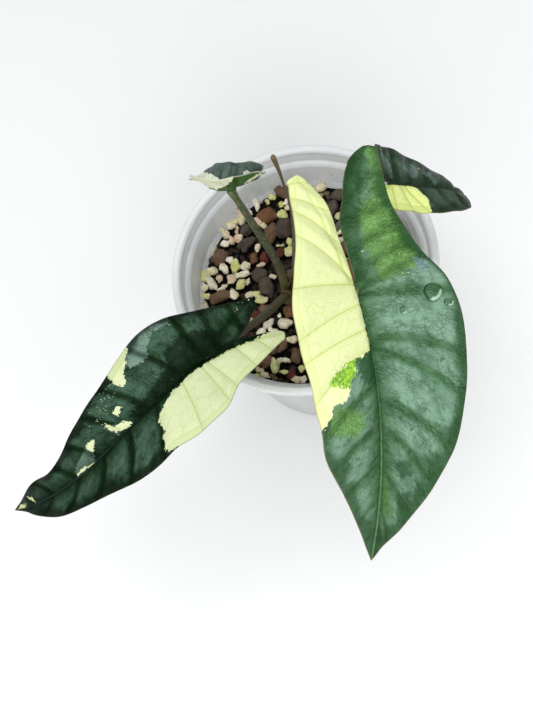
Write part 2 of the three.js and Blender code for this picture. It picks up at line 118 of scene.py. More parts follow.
def mesh_of(build, name):
    """The mesh of a bmesh, which is used up."""
    mesh = bpy.data.meshes.new(name)
    build.to_mesh(mesh)
    build.free()
    return mesh


def turned(name, profile, steps):
    """A closed body turned round the pot's axis from (radius, height) pairs, bottom centre first."""
    build = bmesh.new()
    rings = []
    for radius, z in profile:
        if radius == 0:
            rings.append([build.verts.new((0, 0, z))] * steps)
            continue
        angles = (2 * math.pi * i / steps for i in range(steps))
        rings.append([build.verts.new((radius * math.cos(a), radius * math.sin(a), z)) for a in angles])
    for low, high in zip(rings, rings[1:]):
        for i in range(steps):
            j = (i + 1) % steps
            corners = [low[i], low[j], high[j], high[i]]
            build.faces.new(list(dict.fromkeys(corners)))
    bmesh.ops.recalc_face_normals(build, faces=build.faces)
    return mesh_of(build, name)


def rounded(profile, radius, steps=4):
    """The profile with each inner corner replaced by a small arc."""
    out = [profile[0]]
    for before, corner, after in zip(profile, profile[1:], profile[2:]):
        here, a, b = (Vector(p) for p in (corner, before, after))
        reach = min(radius, (a - here).length * 0.45, (b - here).length * 0.45)
        start = here + (a - here).normalized() * reach
        end = here + (b - here).normalized() * reach
        for k in range(steps + 1):
            t = k / steps
            out.append(tuple(start * (1 - t) ** 2 + here * (2 * t * (1 - t)) + end * t ** 2))
    out.append(profile[-1])
    return out


def finished(piece):
    """The piece with its modifiers made into plain mesh."""
    graph = bpy.context.evaluated_depsgraph_get()
    mesh = bpy.data.meshes.new_from_object(piece.evaluated_get(graph))
    piece.modifiers.clear()
    piece.data = mesh
    return piece


def add_node(tree, kind, inputs=None, **settings):
    """A new node with its settings, and with its inputs joined to other nodes or set to values."""
    node = tree.nodes.new(kind)
    for key, value in settings.items():
        setattr(node, key, value)
    for key, value in (inputs or {}).items():
        if isinstance(value, bpy.types.NodeSocket):
            tree.links.new(value, node.inputs[key])
        else:
            node.inputs[key].default_value = value
    return node


class Surface:
    """A material under construction. Tones are (red, green, blue), or a socket that gives one."""

    def __init__(self, name, **settings):
        self.material = bpy.data.materials.new(name)
        self.material.use_nodes = True
        self.tree = self.material.node_tree
        self.shader = self.tree.nodes["Principled BSDF"]
        self.place = self.add("ShaderNodeTexCoord").outputs["Object"]
        for socket, value in settings.items():
            self.shader.inputs[socket.replace("_", " ")].default_value = value

    def add(self, kind, inputs=None, **settings):
        return add_node(self.tree, kind, inputs, **settings)

    def link(self, value, socket):
        self.tree.links.new(value, self.shader.inputs[socket])

    def math(self, operation, a, b=0.0):
        return self.add("ShaderNodeMath", {0: a, 1: b}, operation=operation).outputs[0]

    def times(self, a, b):
        return self.math("MULTIPLY", a, b)

    def plus(self, a, b):
        return self.math("ADD", a, b)

    def less(self, a, b):
        return self.math("SUBTRACT", a, b)

    def most(self, a, b):
        return self.math("MAXIMUM", a, b)

    def absolute(self, a):
        return self.math("ABSOLUTE", a)

    def step(self, value, low, high, out_low=0.0, out_high=1.0):
        """Soft step: out_low below low, out_high above high."""
        return self.add("ShaderNodeMapRange", {
            "Value": value, "From Min": low, "From Max": high, "To Min": out_low, "To Max": out_high},
            interpolation_type="SMOOTHSTEP").outputs["Result"]

    def blend(self, share, tone, over):
        node = self.add("ShaderNodeMix", data_type="RGBA")
        for socket, value in ((node.inputs[0], share), (node.inputs[6], tone), (node.inputs[7], over)):
            if isinstance(value, bpy.types.NodeSocket):
                self.tree.links.new(value, socket)
            else:
                socket.default_value = (*value, 1) if isinstance(value, tuple) else value
        return node.outputs[2]

    def layered(self, tone, *layers):
        """The tone under layers, each a share that it covers and its tone. The last lies on top."""
        for share, over in layers:
            tone = self.blend(share, tone, over)
        return tone

    def stretched(self, place, factors):
        return self.add("ShaderNodeVectorMath", {0: place, 1: factors}, operation="MULTIPLY").outputs[0]

    def noise(self, scale, detail=3.0, rough=0.5, place=None):
        inputs = {"Vector": place or self.place, "Scale": scale, "Detail": detail, "Roughness": rough}
        return self.add("ShaderNodeTexNoise", inputs).outputs["Fac"]

    def cells(self, scale, place, **settings):
        """Random cells: the distance from a cell's centre, and three chances that each cell draws."""
        node = self.add("ShaderNodeTexVoronoi", {"Vector": place, "Scale": scale}, **settings)
        chances = self.add("ShaderNodeSeparateXYZ", {0: node.outputs["Color"]}).outputs
        return node.outputs["Distance"], chances

    def borders(self, scale, place):
        """The distance to the nearest border between random cells."""
        return self.add("ShaderNodeTexVoronoi", {"Vector": place, "Scale": scale},
                        feature="DISTANCE_TO_EDGE").outputs["Distance"]

    def attribute(self, name):
        """The number that a mesh attribute holds."""
        return self.add("ShaderNodeAttribute", attribute_name=name).outputs["Fac"]

    def attributes(self, name):
        """The three numbers that a mesh attribute holds, together and one by one."""
        source = self.add("ShaderNodeAttribute", attribute_name=name)
        parts = self.add("ShaderNodeSeparateXYZ", {0: source.outputs["Vector"]})
        return source.outputs["Vector"], *parts.outputs

    def bump(self, height, distance, strength):
        inputs = {"Height": height, "Distance": distance, "Strength": strength}
        self.link(self.add("ShaderNodeBump", inputs).outputs["Normal"], "Normal")


def inner_wall(z):
    return FLOOR_RADIUS + (LEDGE_RADIUS - FLOOR_RADIUS) * (z - FLOOR) / (LEDGE_Z - FLOOR)


THIN_MILK = (0.82, 0.84, 0.845)
THICK_MILK = (0.96, 0.97, 0.975)
SMEAR = (0.97, 0.98, 0.99)
COLLAR_PAINTED_LIGHT = (0.98, 0.99, 1.0)
FOLD_SHADE = (0.42, 0.45, 0.47)
FOLD_HEIGHTS = (LEDGE_Z + 0.2 * MM, LEDGE_Z + 1.6 * MM, POT_HEIGHT - 1.6 * MM)
CRUMB = (0.03, 0.025, 0.02)
WALL_SLOPE = (LEDGE_RADIUS - FLOOR_RADIUS) / (LEDGE_Z - FLOOR)

plastic = Surface("frosted_plastic", IOR=1.49, Transmission_Weight=0.32, Specular_IOR_Level=0.5)
streaks = plastic.noise(90, 4, 0.6, plastic.stretched(plastic.place, (1, 1, 0.18)))
smears = plastic.noise(30, 4, 0.6)
height = plastic.add("ShaderNodeSeparateXYZ", {0: plastic.place}).outputs[2]
milky = plastic.layered(
    THIN_MILK,
    (plastic.step(streaks, 0.36, 0.66), THICK_MILK),
    (plastic.step(smears, 0.5, 0.75, 0.0, 0.5), SMEAR),
    # Painted light: the collar made lighter against the shade on its steep faces
    (plastic.step(height, LEDGE_Z + 1 * MM, LEDGE_Z + 3 * MM, 0.0, 0.8), COLLAR_PAINTED_LIGHT))
# Painted shade: thin grey lines in the folds at the ledge, at the foot of the collar and under the rim's top
for fold_height in FOLD_HEIGHTS:
    from_fold = plastic.absolute(plastic.less(height, fold_height))
    milky = plastic.blend(plastic.step(from_fold, 0.1 * MM, 0.45 * MM, 0.45, 0.0), milky, FOLD_SHADE)
# Crumbs of the mix that cling to the wall's inner face
from_axis = plastic.add("ShaderNodeVectorMath", {0: plastic.stretched(plastic.place, (1, 1, 0))},
                        operation="LENGTH").outputs["Value"]
into_wall = plastic.less(from_axis, plastic.times(height, WALL_SLOPE))
inner_face = plastic.math("LESS_THAN", into_wall, FLOOR_RADIUS - WALL_SLOPE * FLOOR + 0.3 * MM)
from_crumb, crumb_chances = plastic.cells(260.0, plastic.place)
crumb = plastic.times(plastic.step(from_crumb, 0.08, 0.15, 1.0, 0.0),
                      plastic.step(crumb_chances[0], 0.9, 0.92))
plastic.link(plastic.blend(plastic.times(crumb, inner_face), milky, CRUMB), "Base Color")
frosting = plastic.step(smears, 0.3, 0.7, 0.26, 0.44)
damped = plastic.step(height, SOIL_Z - 1 * MM, SOIL_Z, 0.3, 1.0)
plastic.link(plastic.times(frosting, damped), "Roughness")
turn_marks = plastic.noise(1, 2, 0.5, plastic.stretched(plastic.place, (8, 8, 900)))
plastic.bump(plastic.plus(turn_marks, plastic.noise(420, 2)), 0.15 * MM, 0.25)

collar_foot = LEDGE_Z + WALL
pot_profile = rounded([
    (0, 0),
    (FLOOR_RADIUS, 0),
    (FLOOR_RADIUS + WALL, 1 * MM),
    (inner_wall(SOIL_Z) + WALL, SOIL_Z),
    (LEDGE_RADIUS + WALL, LEDGE_Z - 0.8 * MM),
    (COLLAR_RADIUS + WALL, collar_foot),
    (COLLAR_RADIUS + 1.5 * MM, POT_HEIGHT - RIM_WALL),
    (RIM_RADIUS - RIM_WALL, POT_HEIGHT - RIM_WALL),
    (RIM_RADIUS - RIM_WALL, POT_HEIGHT - RIM_ROLL),
    (RIM_RADIUS, POT_HEIGHT - RIM_ROLL),
    (RIM_RADIUS, POT_HEIGHT - 0.6 * MM),
    (RIM_RADIUS - 0.6 * MM, POT_HEIGHT),
    (COLLAR_RADIUS + 0.9 * MM, POT_HEIGHT),
    (COLLAR_RADIUS, POT_HEIGHT - 1 * MM),
    (COLLAR_RADIUS - 0.3 * MM, collar_foot),
    (LEDGE_RADIUS, LEDGE_Z),
    (inner_wall(SOIL_Z), SOIL_Z),
    (FLOOR_RADIUS, FLOOR),
    (0, FLOOR),
], 0.5 * MM)
pot = new_object("pot_shell", turned("pot_shell", pot_profile, POT_STEPS), plastic.material)
drill_build = bmesh.new()
for i in range(DRAIN_HOLES):
    hole_angle = 2 * math.pi * i / DRAIN_HOLES
    hole_centre = Vector((math.cos(hole_angle), math.sin(hole_angle), 0)) * DRAIN_RING
    bmesh.ops.create_cone(drill_build, cap_ends=True, segments=24, radius1=DRAIN_RADIUS,
                          radius2=DRAIN_RADIUS, depth=4 * FLOOR, matrix=Matrix.Translation(hole_centre))
drill = new_object("drill", mesh_of(drill_build, "drill"))
cut = pot.modifiers.new("drainage", "BOOLEAN")
cut.object = drill
cut.operation = "DIFFERENCE"
cut.solver = "EXACT"
finished(pot)
bpy.data.objects.remove(drill)
pot.data.shade_smooth()
pot.data.set_sharp_from_angle(angle=math.radians(38))
# Frosting hides what is far behind it, but shows the damp mix that presses against it
TRANSMISSION_ON_MIX = 0.7
clearer = plastic.material.copy()
clearer.name = "frosted_plastic_on_mix"
clearer.node_tree.nodes["Principled BSDF"].inputs["Transmission Weight"].default_value = TRANSMISSION_ON_MIX
pot.data.materials.append(clearer)
for polygon in pot.data.polygons:
    polygon.material_index = int(polygon.center.z < SOIL_Z)
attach(pot, "root")
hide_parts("pot")


# Mix: an open aroid mix of cream pumice, brown clay and lava lumps and dark bark dust. It fills
# the pot to below the collar. Grains lie loose on top and press against the clear wall.

BED_Z = 73.2 * MM                                    # the dark dust between the top grains, painted near black for the shade in the gaps
CROWN_AXIS = (-5.5, -5.5)                            # mm
CROWN_PLACE = Vector((*CROWN_AXIS, 0)) * MM
CROWN_CLEARANCE = 6.6 * MM


def at_height(x, y, z):
    """The point at height z that shows at pixel (x, y) of the photograph."""
    ray = (CAMERA_RIGHT * (x - PHOTO_WIDTH / 2) + CAMERA_UP * (PHOTO_HEIGHT / 2 - y)
           - CAMERA_BACK * FOCAL_PIXELS)
    return CAMERA_PLACE + ray * ((z - CAMERA_PLACE.z) / ray.z)


def millimetres_per_pixel(place):
    return (CAMERA_PLACE - place).dot(CAMERA_BACK) / FOCAL_PIXELS / MM


# Grains that show in the photograph: pixel x and y, length and width in pixels, turn of the
# length in degrees against the picture's x axis, and the kind.
SEEN_GRAINS = (
    (219.5, 257.3, 20, 17, 60, "clay"), (246.5, 243.0, 21, 12, 35, "lava"),
    (246.0, 229.8, 15, 13, 0, "lava"), (266.5, 215.5, 22, 18, 20, "rust"),
    (271.0, 233.0, 22, 15, 100, "clay"), (283.5, 228.5, 25, 17, 80, "lava"),
    (279.5, 253.0, 12, 9, 30, "red"), (263.9, 258.6, 12, 9, 120, "red"),
    (253.7, 258.4, 13, 9, 80, "rust"), (258.6, 275.0, 19, 16, 120, "lava"),
    (266.0, 287.0, 21, 18, 150, "lava"), (219.5, 296.5, 26, 12, 8, "clay"),
    (290.4, 274.0, 13, 10, 80, "clay"), (281.0, 191.0, 16, 11, 150, "clay"),
    (240.9, 219.2, 12, 10, 150, "cream"), (238.5, 210.5, 9, 8, 90, "rose"),
    (228.7, 223.5, 13, 10, 120, "cream"), (234.5, 223.0, 7, 6, 60, "straw"),
    (224.6, 233.0, 12, 9, 120, "cream"), (237.2, 229.2, 8, 5, 60, "rose"),
    (237.9, 238.5, 10, 9, 90, "rose"), (232.2, 241.0, 9, 6, 100, "rose"),
    (225.6, 243.5, 10, 7, 160, "white"), (230.2, 260.5, 8, 7, 60, "white"),
    (223.6, 267.6, 14, 9, 110, "white"), (235.3, 266.5, 13, 10, 60, "straw"),
    (245.5, 266.0, 11, 7, 170, "white"), (243.5, 274.2, 15, 8, 175, "white"),
    (231.2, 280.3, 10, 8, 0, "rose"), (241.2, 284.6, 13, 8, 90, "straw"),
    (248.6, 281.5, 6, 5, 60, "cream"), (211.8, 271.0, 10, 9, 150, "cream"),
    (202.9, 276.0, 14, 8, 85, "straw"), (212.4, 284.4, 17, 9, 115, "white"),
    (219.8, 279.5, 9, 6, 30, "rose"), (205.0, 288.0, 9, 6, 80, "cream"),
    (223.2, 288.0, 10, 7, 20, "white"), (233.4, 294.2, 11, 9, 90, "cream"),
    (205.4, 296.4, 10, 6, 170, "straw"), (283.3, 215.5, 11, 10, 90, "straw"),
    (272.4, 197.6, 10, 7, 80, "straw"), (266.9, 202.0, 6, 5, 0, "straw"),
    (286.3, 202.4, 9, 7, 40, "white"), (256.4, 204.5, 15, 6, 95, "white"),
    (257.9, 221.5, 12, 6, 125, "rose"), (257.8, 248.6, 8, 6, 60, "cream"),
    (289.6, 251.6, 13, 8, 100, "straw"), (290.4, 242.5, 9, 6, 110, "straw"),
    (279.8, 246.2, 7, 4, 160, "straw"), (261.4, 265.2, 8, 6, 170, "rose"),
    (272.8, 276.9, 7, 6, 60, "cream"), (256.6, 295.5, 9, 6, 60, "straw"),
    (261.6, 299.6, 16, 8, 170, "straw"), (277.2, 302.6, 9, 6, 0, "white"),
    (265.0, 310.0, 15, 10, 170, "clay"), (255.8, 314.0, 9, 9, 60, "red"),
    (268.2, 324.2, 15, 6, 30, "white"), (286.2, 323.2, 14, 12, 160, "cream"),
    (279.4, 315.8, 7, 4, 20, "white"), (261.3, 332.8, 12, 7, 25, "white"),
    (272.8, 330.4, 10, 6, 170, "white"), (292.2, 340.2, 10, 8, 150, "cream"),
    (251.4, 321.6, 9, 7, 50, "straw"), (288.6, 312.0, 14, 11, 90, "rust"),
    (283.2, 345.0, 17, 9, 80, "clay"), (273.4, 350.0, 12, 9, 60, "clay"),
    (265.0, 360.8, 17, 14, 60, "clay"), (274.6, 365.4, 14, 9, 80, "straw"),
    (280.4, 360.6, 7, 5, 120, "white"), (287.0, 360.6, 7, 6, 130, "white"),
    (260.3, 370.0, 8, 7, 100, "cream"), (283.6, 372.4, 10, 4, 5, "straw"),
    (265.8, 375.4, 9, 6, 150, "cream"), (273.8, 377.2, 10, 6, 170, "clay"),
    (291.6, 374.8, 13, 8, 70, "red"), (298.8, 379.2, 10, 8, 160, "cream"),
    (302.4, 368.8, 8, 7, 120, "straw"), (295.8, 355.8, 19, 11, 85, "clay"),
    (303.5, 379.5, 8, 6, 60, "white"), (331.0, 209.0, 17, 14, 80, "lava"),
    (339.0, 216.0, 8, 6, 80, "straw"), (296.5, 196.0, 9, 7, 120, "clay"),
    (281.5, 205.5, 8, 7, 20, "straw"), (288.5, 208.0, 8, 6, 60, "cream"),
    (276.5, 187.0, 9, 6, 100, "clay"), (286.5, 190.5, 10, 7, 100, "rust"),
    (248.5, 214.0, 8, 7, 30, "cream"), (244.0, 249.0, 9, 6, 120, "lava"),
    (263.5, 226.0, 9, 5, 130, "cream"), (249.5, 296.0, 8, 6, 30, "cream"),
)
KINDS = ("white", "cream", "straw", "rose", "clay", "lava", "rust", "red")
BIG_KINDS = ("clay", "lava", "rust", "red")


PALE_SHAPES = 6
LUMP_SHAPES = 3
STONE_REACH = 1.14                                   # no corner stands out further than this
LUMP_SCALE = 420


def keep_on(mesh, key, layout, values):
    """Keeps values on a mesh, vertex by vertex, for nodes to read by name."""
    layer = mesh.attributes.new(key, layout, "POINT")
    field = "vector" if layout == "FLOAT_VECTOR" else "value"
    layer.data.foreach_set(field, np.array(values, int if layout == "INT" else np.float32).ravel())


class Grains:
    """Loose grains as points: each has a place, half sizes, a turn, a kind and a stone's shape."""

    def __init__(self):
        self.places, self.sizes, self.turns, self.kinds, self.shades = [], [], [], [], []

    def put(self, place, size, turn, kind, shade):
        self.places.append(tuple(place))
        self.sizes.append(size)
        self.turns.append(turn)
        self.kinds.append(KINDS.index(kind))
        self.shades.append(shade)

    def points(self, name):
        mesh = bpy.data.meshes.new(name)
        mesh.from_pydata(self.places, [], [])
        shapes = [PALE_SHAPES + n % LUMP_SHAPES if KINDS[kind] in BIG_KINDS else n % PALE_SHAPES
                  for n, kind in enumerate(self.kinds)]
        keep_on(mesh, "size", "FLOAT_VECTOR", self.sizes)
        keep_on(mesh, "turn", "FLOAT_VECTOR", self.turns)
        keep_on(mesh, "kind", "FLOAT", self.kinds)
        keep_on(mesh, "shade", "FLOAT", self.shades)
        keep_on(mesh, "shape", "INT", shapes)
        return mesh


def grain_shapes(fineness):
    """A collection of stones: angular ones cut by flat breaks, then rounder lumps."""
    shapes = bpy.data.collections.new(f"grain_shapes_{fineness}")
    dice = np.random.default_rng(7)
    for n in range(PALE_SHAPES + LUMP_SHAPES):
        lump = n >= PALE_SHAPES
        breaks = dice.normal(size=(10 if lump else 8, 3))
        breaks /= np.linalg.norm(breaks, axis=1)[:, None]
        breaks = np.concatenate([breaks, -breaks])
        depths = dice.uniform(0.76 if lump else 0.6, 1.06, len(breaks))
        sharpness = 8 if lump else 14
        build = bmesh.new()
        bmesh.ops.create_icosphere(build, subdivisions=fineness, radius=1)
        for vert in build.verts:
            facing = np.maximum(breaks @ np.array(vert.co), 0) / depths
            vert.co *= min(float(np.sum(facing ** sharpness) ** (-1 / sharpness)), STONE_REACH)
        shapes.objects.link(bpy.data.objects.new(f"grain_{fineness}_{n}", mesh_of(build, f"grain_{n}")))
    return shapes


def grain_tree():
    """Nodes that put a stone on each point, then roughen it."""
    tree = bpy.data.node_groups.new("grains_on_points", "GeometryNodeTree")
    for label, kind in (("Points", "Geometry"), ("Shapes", "Collection"), ("Roughness depth", "Float"),
                        ("Lump scale", "Float"), ("Finish", "Material")):
        tree.interface.new_socket(label, in_out="INPUT", socket_type="NodeSocket" + kind)
    tree.interface.new_socket("Grains", in_out="OUTPUT", socket_type="NodeSocketGeometry")

    def add(kind, inputs=None, **settings):
        return add_node(tree, kind, inputs, **settings).outputs

    def named(name, data_type):
        return add("GeometryNodeInputNamedAttribute", {"Name": name}, data_type=data_type)["Attribute"]

    given = add("NodeGroupInput")
    stones = add("GeometryNodeCollectionInfo", {
        "Collection": given["Shapes"], "Separate Children": True, "Reset Children": True})
    turn = add("FunctionNodeEulerToRotation", {0: named("turn", "FLOAT_VECTOR")})
    copies = add("GeometryNodeInstanceOnPoints", {
        "Points": given["Points"], "Instance": stones["Instances"], "Pick Instance": True,
        "Instance Index": named("shape", "INT"), "Rotation": turn[0],
        "Scale": named("size", "FLOAT_VECTOR")})
    real = add("GeometryNodeRealizeInstances", {"Geometry": copies["Instances"]})
    lumps = add("ShaderNodeTexNoise", {
        "Vector": add("GeometryNodeInputPosition")[0], "Scale": given["Lump scale"], "Detail": 3})
    centred = add("ShaderNodeMath", {0: lumps["Fac"], 1: 0.5}, operation="SUBTRACT")
    depth = add("ShaderNodeMath", {0: centred[0], 1: given["Roughness depth"]}, operation="MULTIPLY")
    offset = add("ShaderNodeVectorMath", {0: add("GeometryNodeInputNormal")[0], "Scale": depth[0]},
                 operation="SCALE")
    moved = add("GeometryNodeSetPosition", {"Geometry": real["Geometry"], "Offset": offset[0]})
    soft = add("GeometryNodeSetShadeSmooth", {"Geometry": moved["Geometry"]})
    painted = add("GeometryNodeSetMaterial", {"Geometry": soft["Geometry"], "Material": given["Finish"]})
    add("NodeGroupOutput", {"Grains": painted["Geometry"]})
    return tree


GRAIN_TREE = grain_tree()


def set_inputs(modifier, **values):
    """Sets a geometry modifier's inputs, found by their names, by socket identifier."""
    for item in modifier.node_group.interface.items_tree:
        key = item.name.replace(" ", "_").lower()
        if item.in_out == "INPUT" and key in values:
            modifier[item.identifier] = values[key]


def display(*colour):
    """A colour as a screen shows it, red, green and blue from 0 to 255, as the shader's own numbers."""
    return tuple(c / 255 / 12.92 if c < 11 else ((c / 255 + 0.055) / 1.055) ** 2.4 for c in colour)


GRAIN_COLOURS = {
    "white": display(250, 246, 232), "cream": display(244, 234, 210), "straw": display(234, 234, 192),
    "rose": display(236, 212, 192), "clay": display(114, 88, 70), "lava": display(84, 74, 68),
    "rust": display(124, 86, 54), "red": display(98, 38, 26),
}
DAMP = (0.72, 0.66, 0.56)
STAINED = (0.88, 0.9, 0.55)
STRAW_TINT = (0.88, 0.92, 0.58)
PORE_SHADE = (0.05, 0.035, 0.02)
DUST_AND_GAP_SHADE = (0.004, 0.003, 0.0025)
DUST_CRUMB = (0.03, 0.02, 0.014)

grit = Surface("mix_grains", Roughness=0.62, Specular_IOR_Level=0.45)
kind = grit.attribute("kind")
place_on_ramp = grit.math("DIVIDE", grit.plus(kind, 0.5), float(len(KINDS)))
ramp = grit.add("ShaderNodeValToRGB", {"Fac": place_on_ramp})
ramp.color_ramp.interpolation = "CONSTANT"
while len(ramp.color_ramp.elements) < len(KINDS):
    ramp.color_ramp.elements.new(0.5)
for i, name in enumerate(KINDS):
    ramp.color_ramp.elements[i].position = i / len(KINDS)
    ramp.color_ramp.elements[i].color = (*GRAIN_COLOURS[name], 1)
mottle = grit.noise(380, 4, 0.62)
pores = grit.noise(1300, 3, 0.7)
stain = grit.noise(190, 2, 0.5)
straw_kind = grit.math("LESS_THAN", grit.absolute(grit.less(kind, float(KINDS.index("straw")))), 0.5)
weathered = ramp.outputs["Color"]
for share, tint in ((grit.step(mottle, 0.36, 0.7, 0.85, 0.0), DAMP),
                    (grit.step(stain, 0.42, 0.6, 0.0, 0.35), STAINED),
                    (grit.times(straw_kind, grit.step(stain, 0.36, 0.58, 0.35, 1.0)), STRAW_TINT)):
    tinted = grit.add("ShaderNodeMix", {6: weathered, 7: (*tint, 1)},
                      data_type="RGBA", blend_type="MULTIPLY")
    grit.tree.links.new(share, tinted.inputs[0])
    weathered = tinted.outputs[2]
shaded = grit.add("ShaderNodeHueSaturation", {
    "Color": weathered, "Value": grit.step(grit.attribute("shade"), 0, 1, 0.3, 1.25)}).outputs["Color"]
# Painted shade in the grains' pores
grit.link(grit.blend(grit.step(pores, 0.6, 0.72, 0.0, 0.8), shaded, PORE_SHADE), "Base Color")
grit.bump(grit.plus(mottle, grit.times(pores, 0.8)), 1 * MM, 1.0)

# The dust under the top grains: dark bark dust with lighter crumbs, its ground painted near black as the
# shade deep in the gaps
dust = Surface("mix_dust", Roughness=0.95, Specular_IOR_Level=0.2)
crumbs = dust.noise(700, 4, 0.7)
dust.link(dust.blend(dust.step(crumbs, 0.45, 0.8), DUST_AND_GAP_SHADE, DUST_CRUMB), "Base Color")
dust.bump(crumbs, 1.2 * MM, 1.0)


def make_grains(name, grains, fineness, depth):
    """One piece out of loose grains: stones of the given fineness, roughened to the given depth."""
    piece = new_object(name, grains.points(name))
    modifier = piece.modifiers.new("grains", "NODES")
    modifier.node_group = GRAIN_TREE
    shapes = grain_shapes(fineness)
    set_inputs(modifier, shapes=shapes, roughness_depth=depth, lump_scale=LUMP_SCALE, finish=grit.material)
    finished(piece)
    for shape in list(shapes.objects):
        bpy.data.objects.remove(shape)
    bpy.data.collections.remove(shapes)
    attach(piece, "root")
    return piece


def clear_of_crown(place, size):
    return (Vector(place) - CROWN_PLACE).xy.length > CROWN_CLEARANCE + size * 0.7


WALL_GRAIN_DEPTH = 2.6 * MM                          # the core stays this far behind the wall
bed_foot = FLOOR + GAP
core = new_object("mix_core", turned("mix_core", rounded([
    (0, bed_foot),
    (inner_wall(bed_foot) - WALL_GRAIN_DEPTH, bed_foot),
    (inner_wall(BED_Z) - 0.6 * MM, BED_Z),
    (0, BED_Z),
], 1 * MM), 96), dust.material)
core.data.shade_smooth()
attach(core, "root")
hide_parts("substrate")

# The grains that the photograph shows, each put where its pixel meets the bed
BIG_FULLNESS = 1.05                                  # breaks cut a stone smaller than its measures
PALE_FULLNESS = 1.15
BIG_FLATNESS = 0.85                                  # height for width
PALE_FLATNESS = 0.75
PICTURE_TURN = 3                                     # degrees from the pot's x axis to the picture's
chance = random.Random(31)
seen = Grains()
taken = []                                           # x, y and radius of what already lies there
for x, y, long, wide, turn, name in SEEN_GRAINS:
    place = at_height(x, y, SOIL_Z)
    big = name in BIG_KINDS
    scale = millimetres_per_pixel(place) * MM * 0.5 * (BIG_FULLNESS if big else PALE_FULLNESS)
    size = (long * scale, wide * scale, wide * scale * (BIG_FLATNESS if big else PALE_FLATNESS))
    if place.xy.length + size[1] > inner_wall(SOIL_Z) - GAP:
        place.xy *= (inner_wall(SOIL_Z) - GAP - size[1]) / place.xy.length
    if not clear_of_crown(place, size[1]):
        continue
    sunk = Vector((place.x, place.y, SOIL_Z + 0.6 * MM - size[2] * 0.25))
    tilt = (0.5 * (chance.random() - 0.5), 0.5 * (chance.random() - 0.5), math.radians(turn + PICTURE_TURN))
    seen.put(sunk, size, tilt, name, 0.68 + 0.32 * chance.random())
    taken.append((place.x, place.y, max(size[0], size[1]) * 0.8))
make_grains("mix_seen_grains", seen, 3, 3.2 * MM)

# The rest of the top layer: the same mix, packed by trying places and keeping the free ones. Big
# lumps come first, then grains of the top, then low ones that fill the gaps with shade.
FILL_TRIES = 9000
BIG_TRIES = 0.12 * FILL_TRIES
TOP_TRIES = 0.55 * FILL_TRIES
SEEN_REACH = 7 * MM                                  # the photograph shows what lies this near a seen grain
SHRUNK_WHERE_SHOWN = 0.62
OVERLAP_WHERE_SHOWN = 0.85                           # how near two grains may come, of their radii
OVERLAP_LOW = 0.62
OVERLAP_TOP = 0.92
TOP_SINK = 0.8 * MM
UNEVENNESS = 1.2 * MM
seen_places = np.array([place[:2] for place in seen.places])
fill = Grains()
for i in range(FILL_TRIES):
    big = i < BIG_TRIES
    low = i > TOP_TRIES
    radius = (3.4 + 2.4 * chance.random() if big else 1.7 + 1.5 * chance.random()) * MM
    angle = 2 * math.pi * chance.random()
    distance = (inner_wall(SOIL_Z) - radius - GAP) * math.sqrt(chance.random())
    x, y = distance * math.cos(angle), distance * math.sin(angle)
    shown = float(np.min(np.linalg.norm(seen_places - (x, y), axis=1))) < SEEN_REACH
    if shown:
        radius *= SHRUNK_WHERE_SHOWN
        low = True
    overlap = OVERLAP_WHERE_SHOWN if shown else OVERLAP_LOW if low else OVERLAP_TOP
    if any((x - a) ** 2 + (y - b) ** 2 < ((radius + c) * overlap) ** 2 for a, b, c in taken):
        continue
    if not clear_of_crown((x, y, 0), radius):
        continue
    layer_z = BED_Z - TOP_SINK if shown else BED_Z if low else SOIL_Z - TOP_SINK
    z = layer_z + UNEVENNESS * chance.random()
    size = (radius * 1.25, radius * 0.95, radius * 0.8)
    dark_grain = shown or big or low and i % 3
    name = chance.choice(BIG_KINDS[:2] if dark_grain else ("white", "cream", "cream", "straw", "rose"))
    tilt = (chance.random(), chance.random(), 6.28 * chance.random())
    shade = chance.random()
    if low:
        shade *= 0.2 if shown else 0.45
    else:
        shade = 0.5 + 0.5 * shade
    fill.put((x, y, z), size, tilt, name, shade)
    taken.append((x, y, radius * (0.5 if low else 1)))
make_grains("mix_fill_grains", fill, 2, 2.6 * MM)

# Grains pressed against the clear wall, and against the floor round the drainage holes
WALL_GRAINS = 620
PRESSED_IN = 0.35 * MM                               # the soft wall gives way to the grains
PRESSED_DEPTH = 1.5 * MM
BELOW_TOP = 3 * MM                                   # the highest ones end under the top layer
GOLDEN_ANGLE = math.pi * (3 - math.sqrt(5))
pressed = Grains()
for i in range(WALL_GRAINS):
    angle = i * GOLDEN_ANGLE
    big = i % 5 == 0
    radius = (4.2 + 1.6 * chance.random() if big else 2.4 + 1.4 * chance.random()) * MM
    lowest = FLOOR + GAP + radius * 1.25
    z = lowest + (SOIL_Z - BELOW_TOP - lowest) * (i + 0.5) / WALL_GRAINS
    reach = inner_wall(z) + PRESSED_IN - PRESSED_DEPTH
    turn = (math.pi / 2, 3 * (chance.random() - 0.5), angle + math.pi / 2)
    name = chance.choice(("clay", "lava") if big else ("white", "cream", "straw", "rose", "lava"))
    pressed.put((reach * math.cos(angle), reach * math.sin(angle), z),
                (radius * 1.15, radius * 0.9, PRESSED_DEPTH), turn, name, 0.4 + 0.6 * chance.random())
make_grains("mix_wall_grains", pressed, 1, 0.5 * MM)


# Blades: thick, leathery arrow-shaped leaves. The side veins are sunk in the upper face, with
# raised pads between them, and stand out below with the strong midrib. Each half has its own
# outline, fold and colour. Lengths are in millimetres along the midrib (v) and out from it (u).

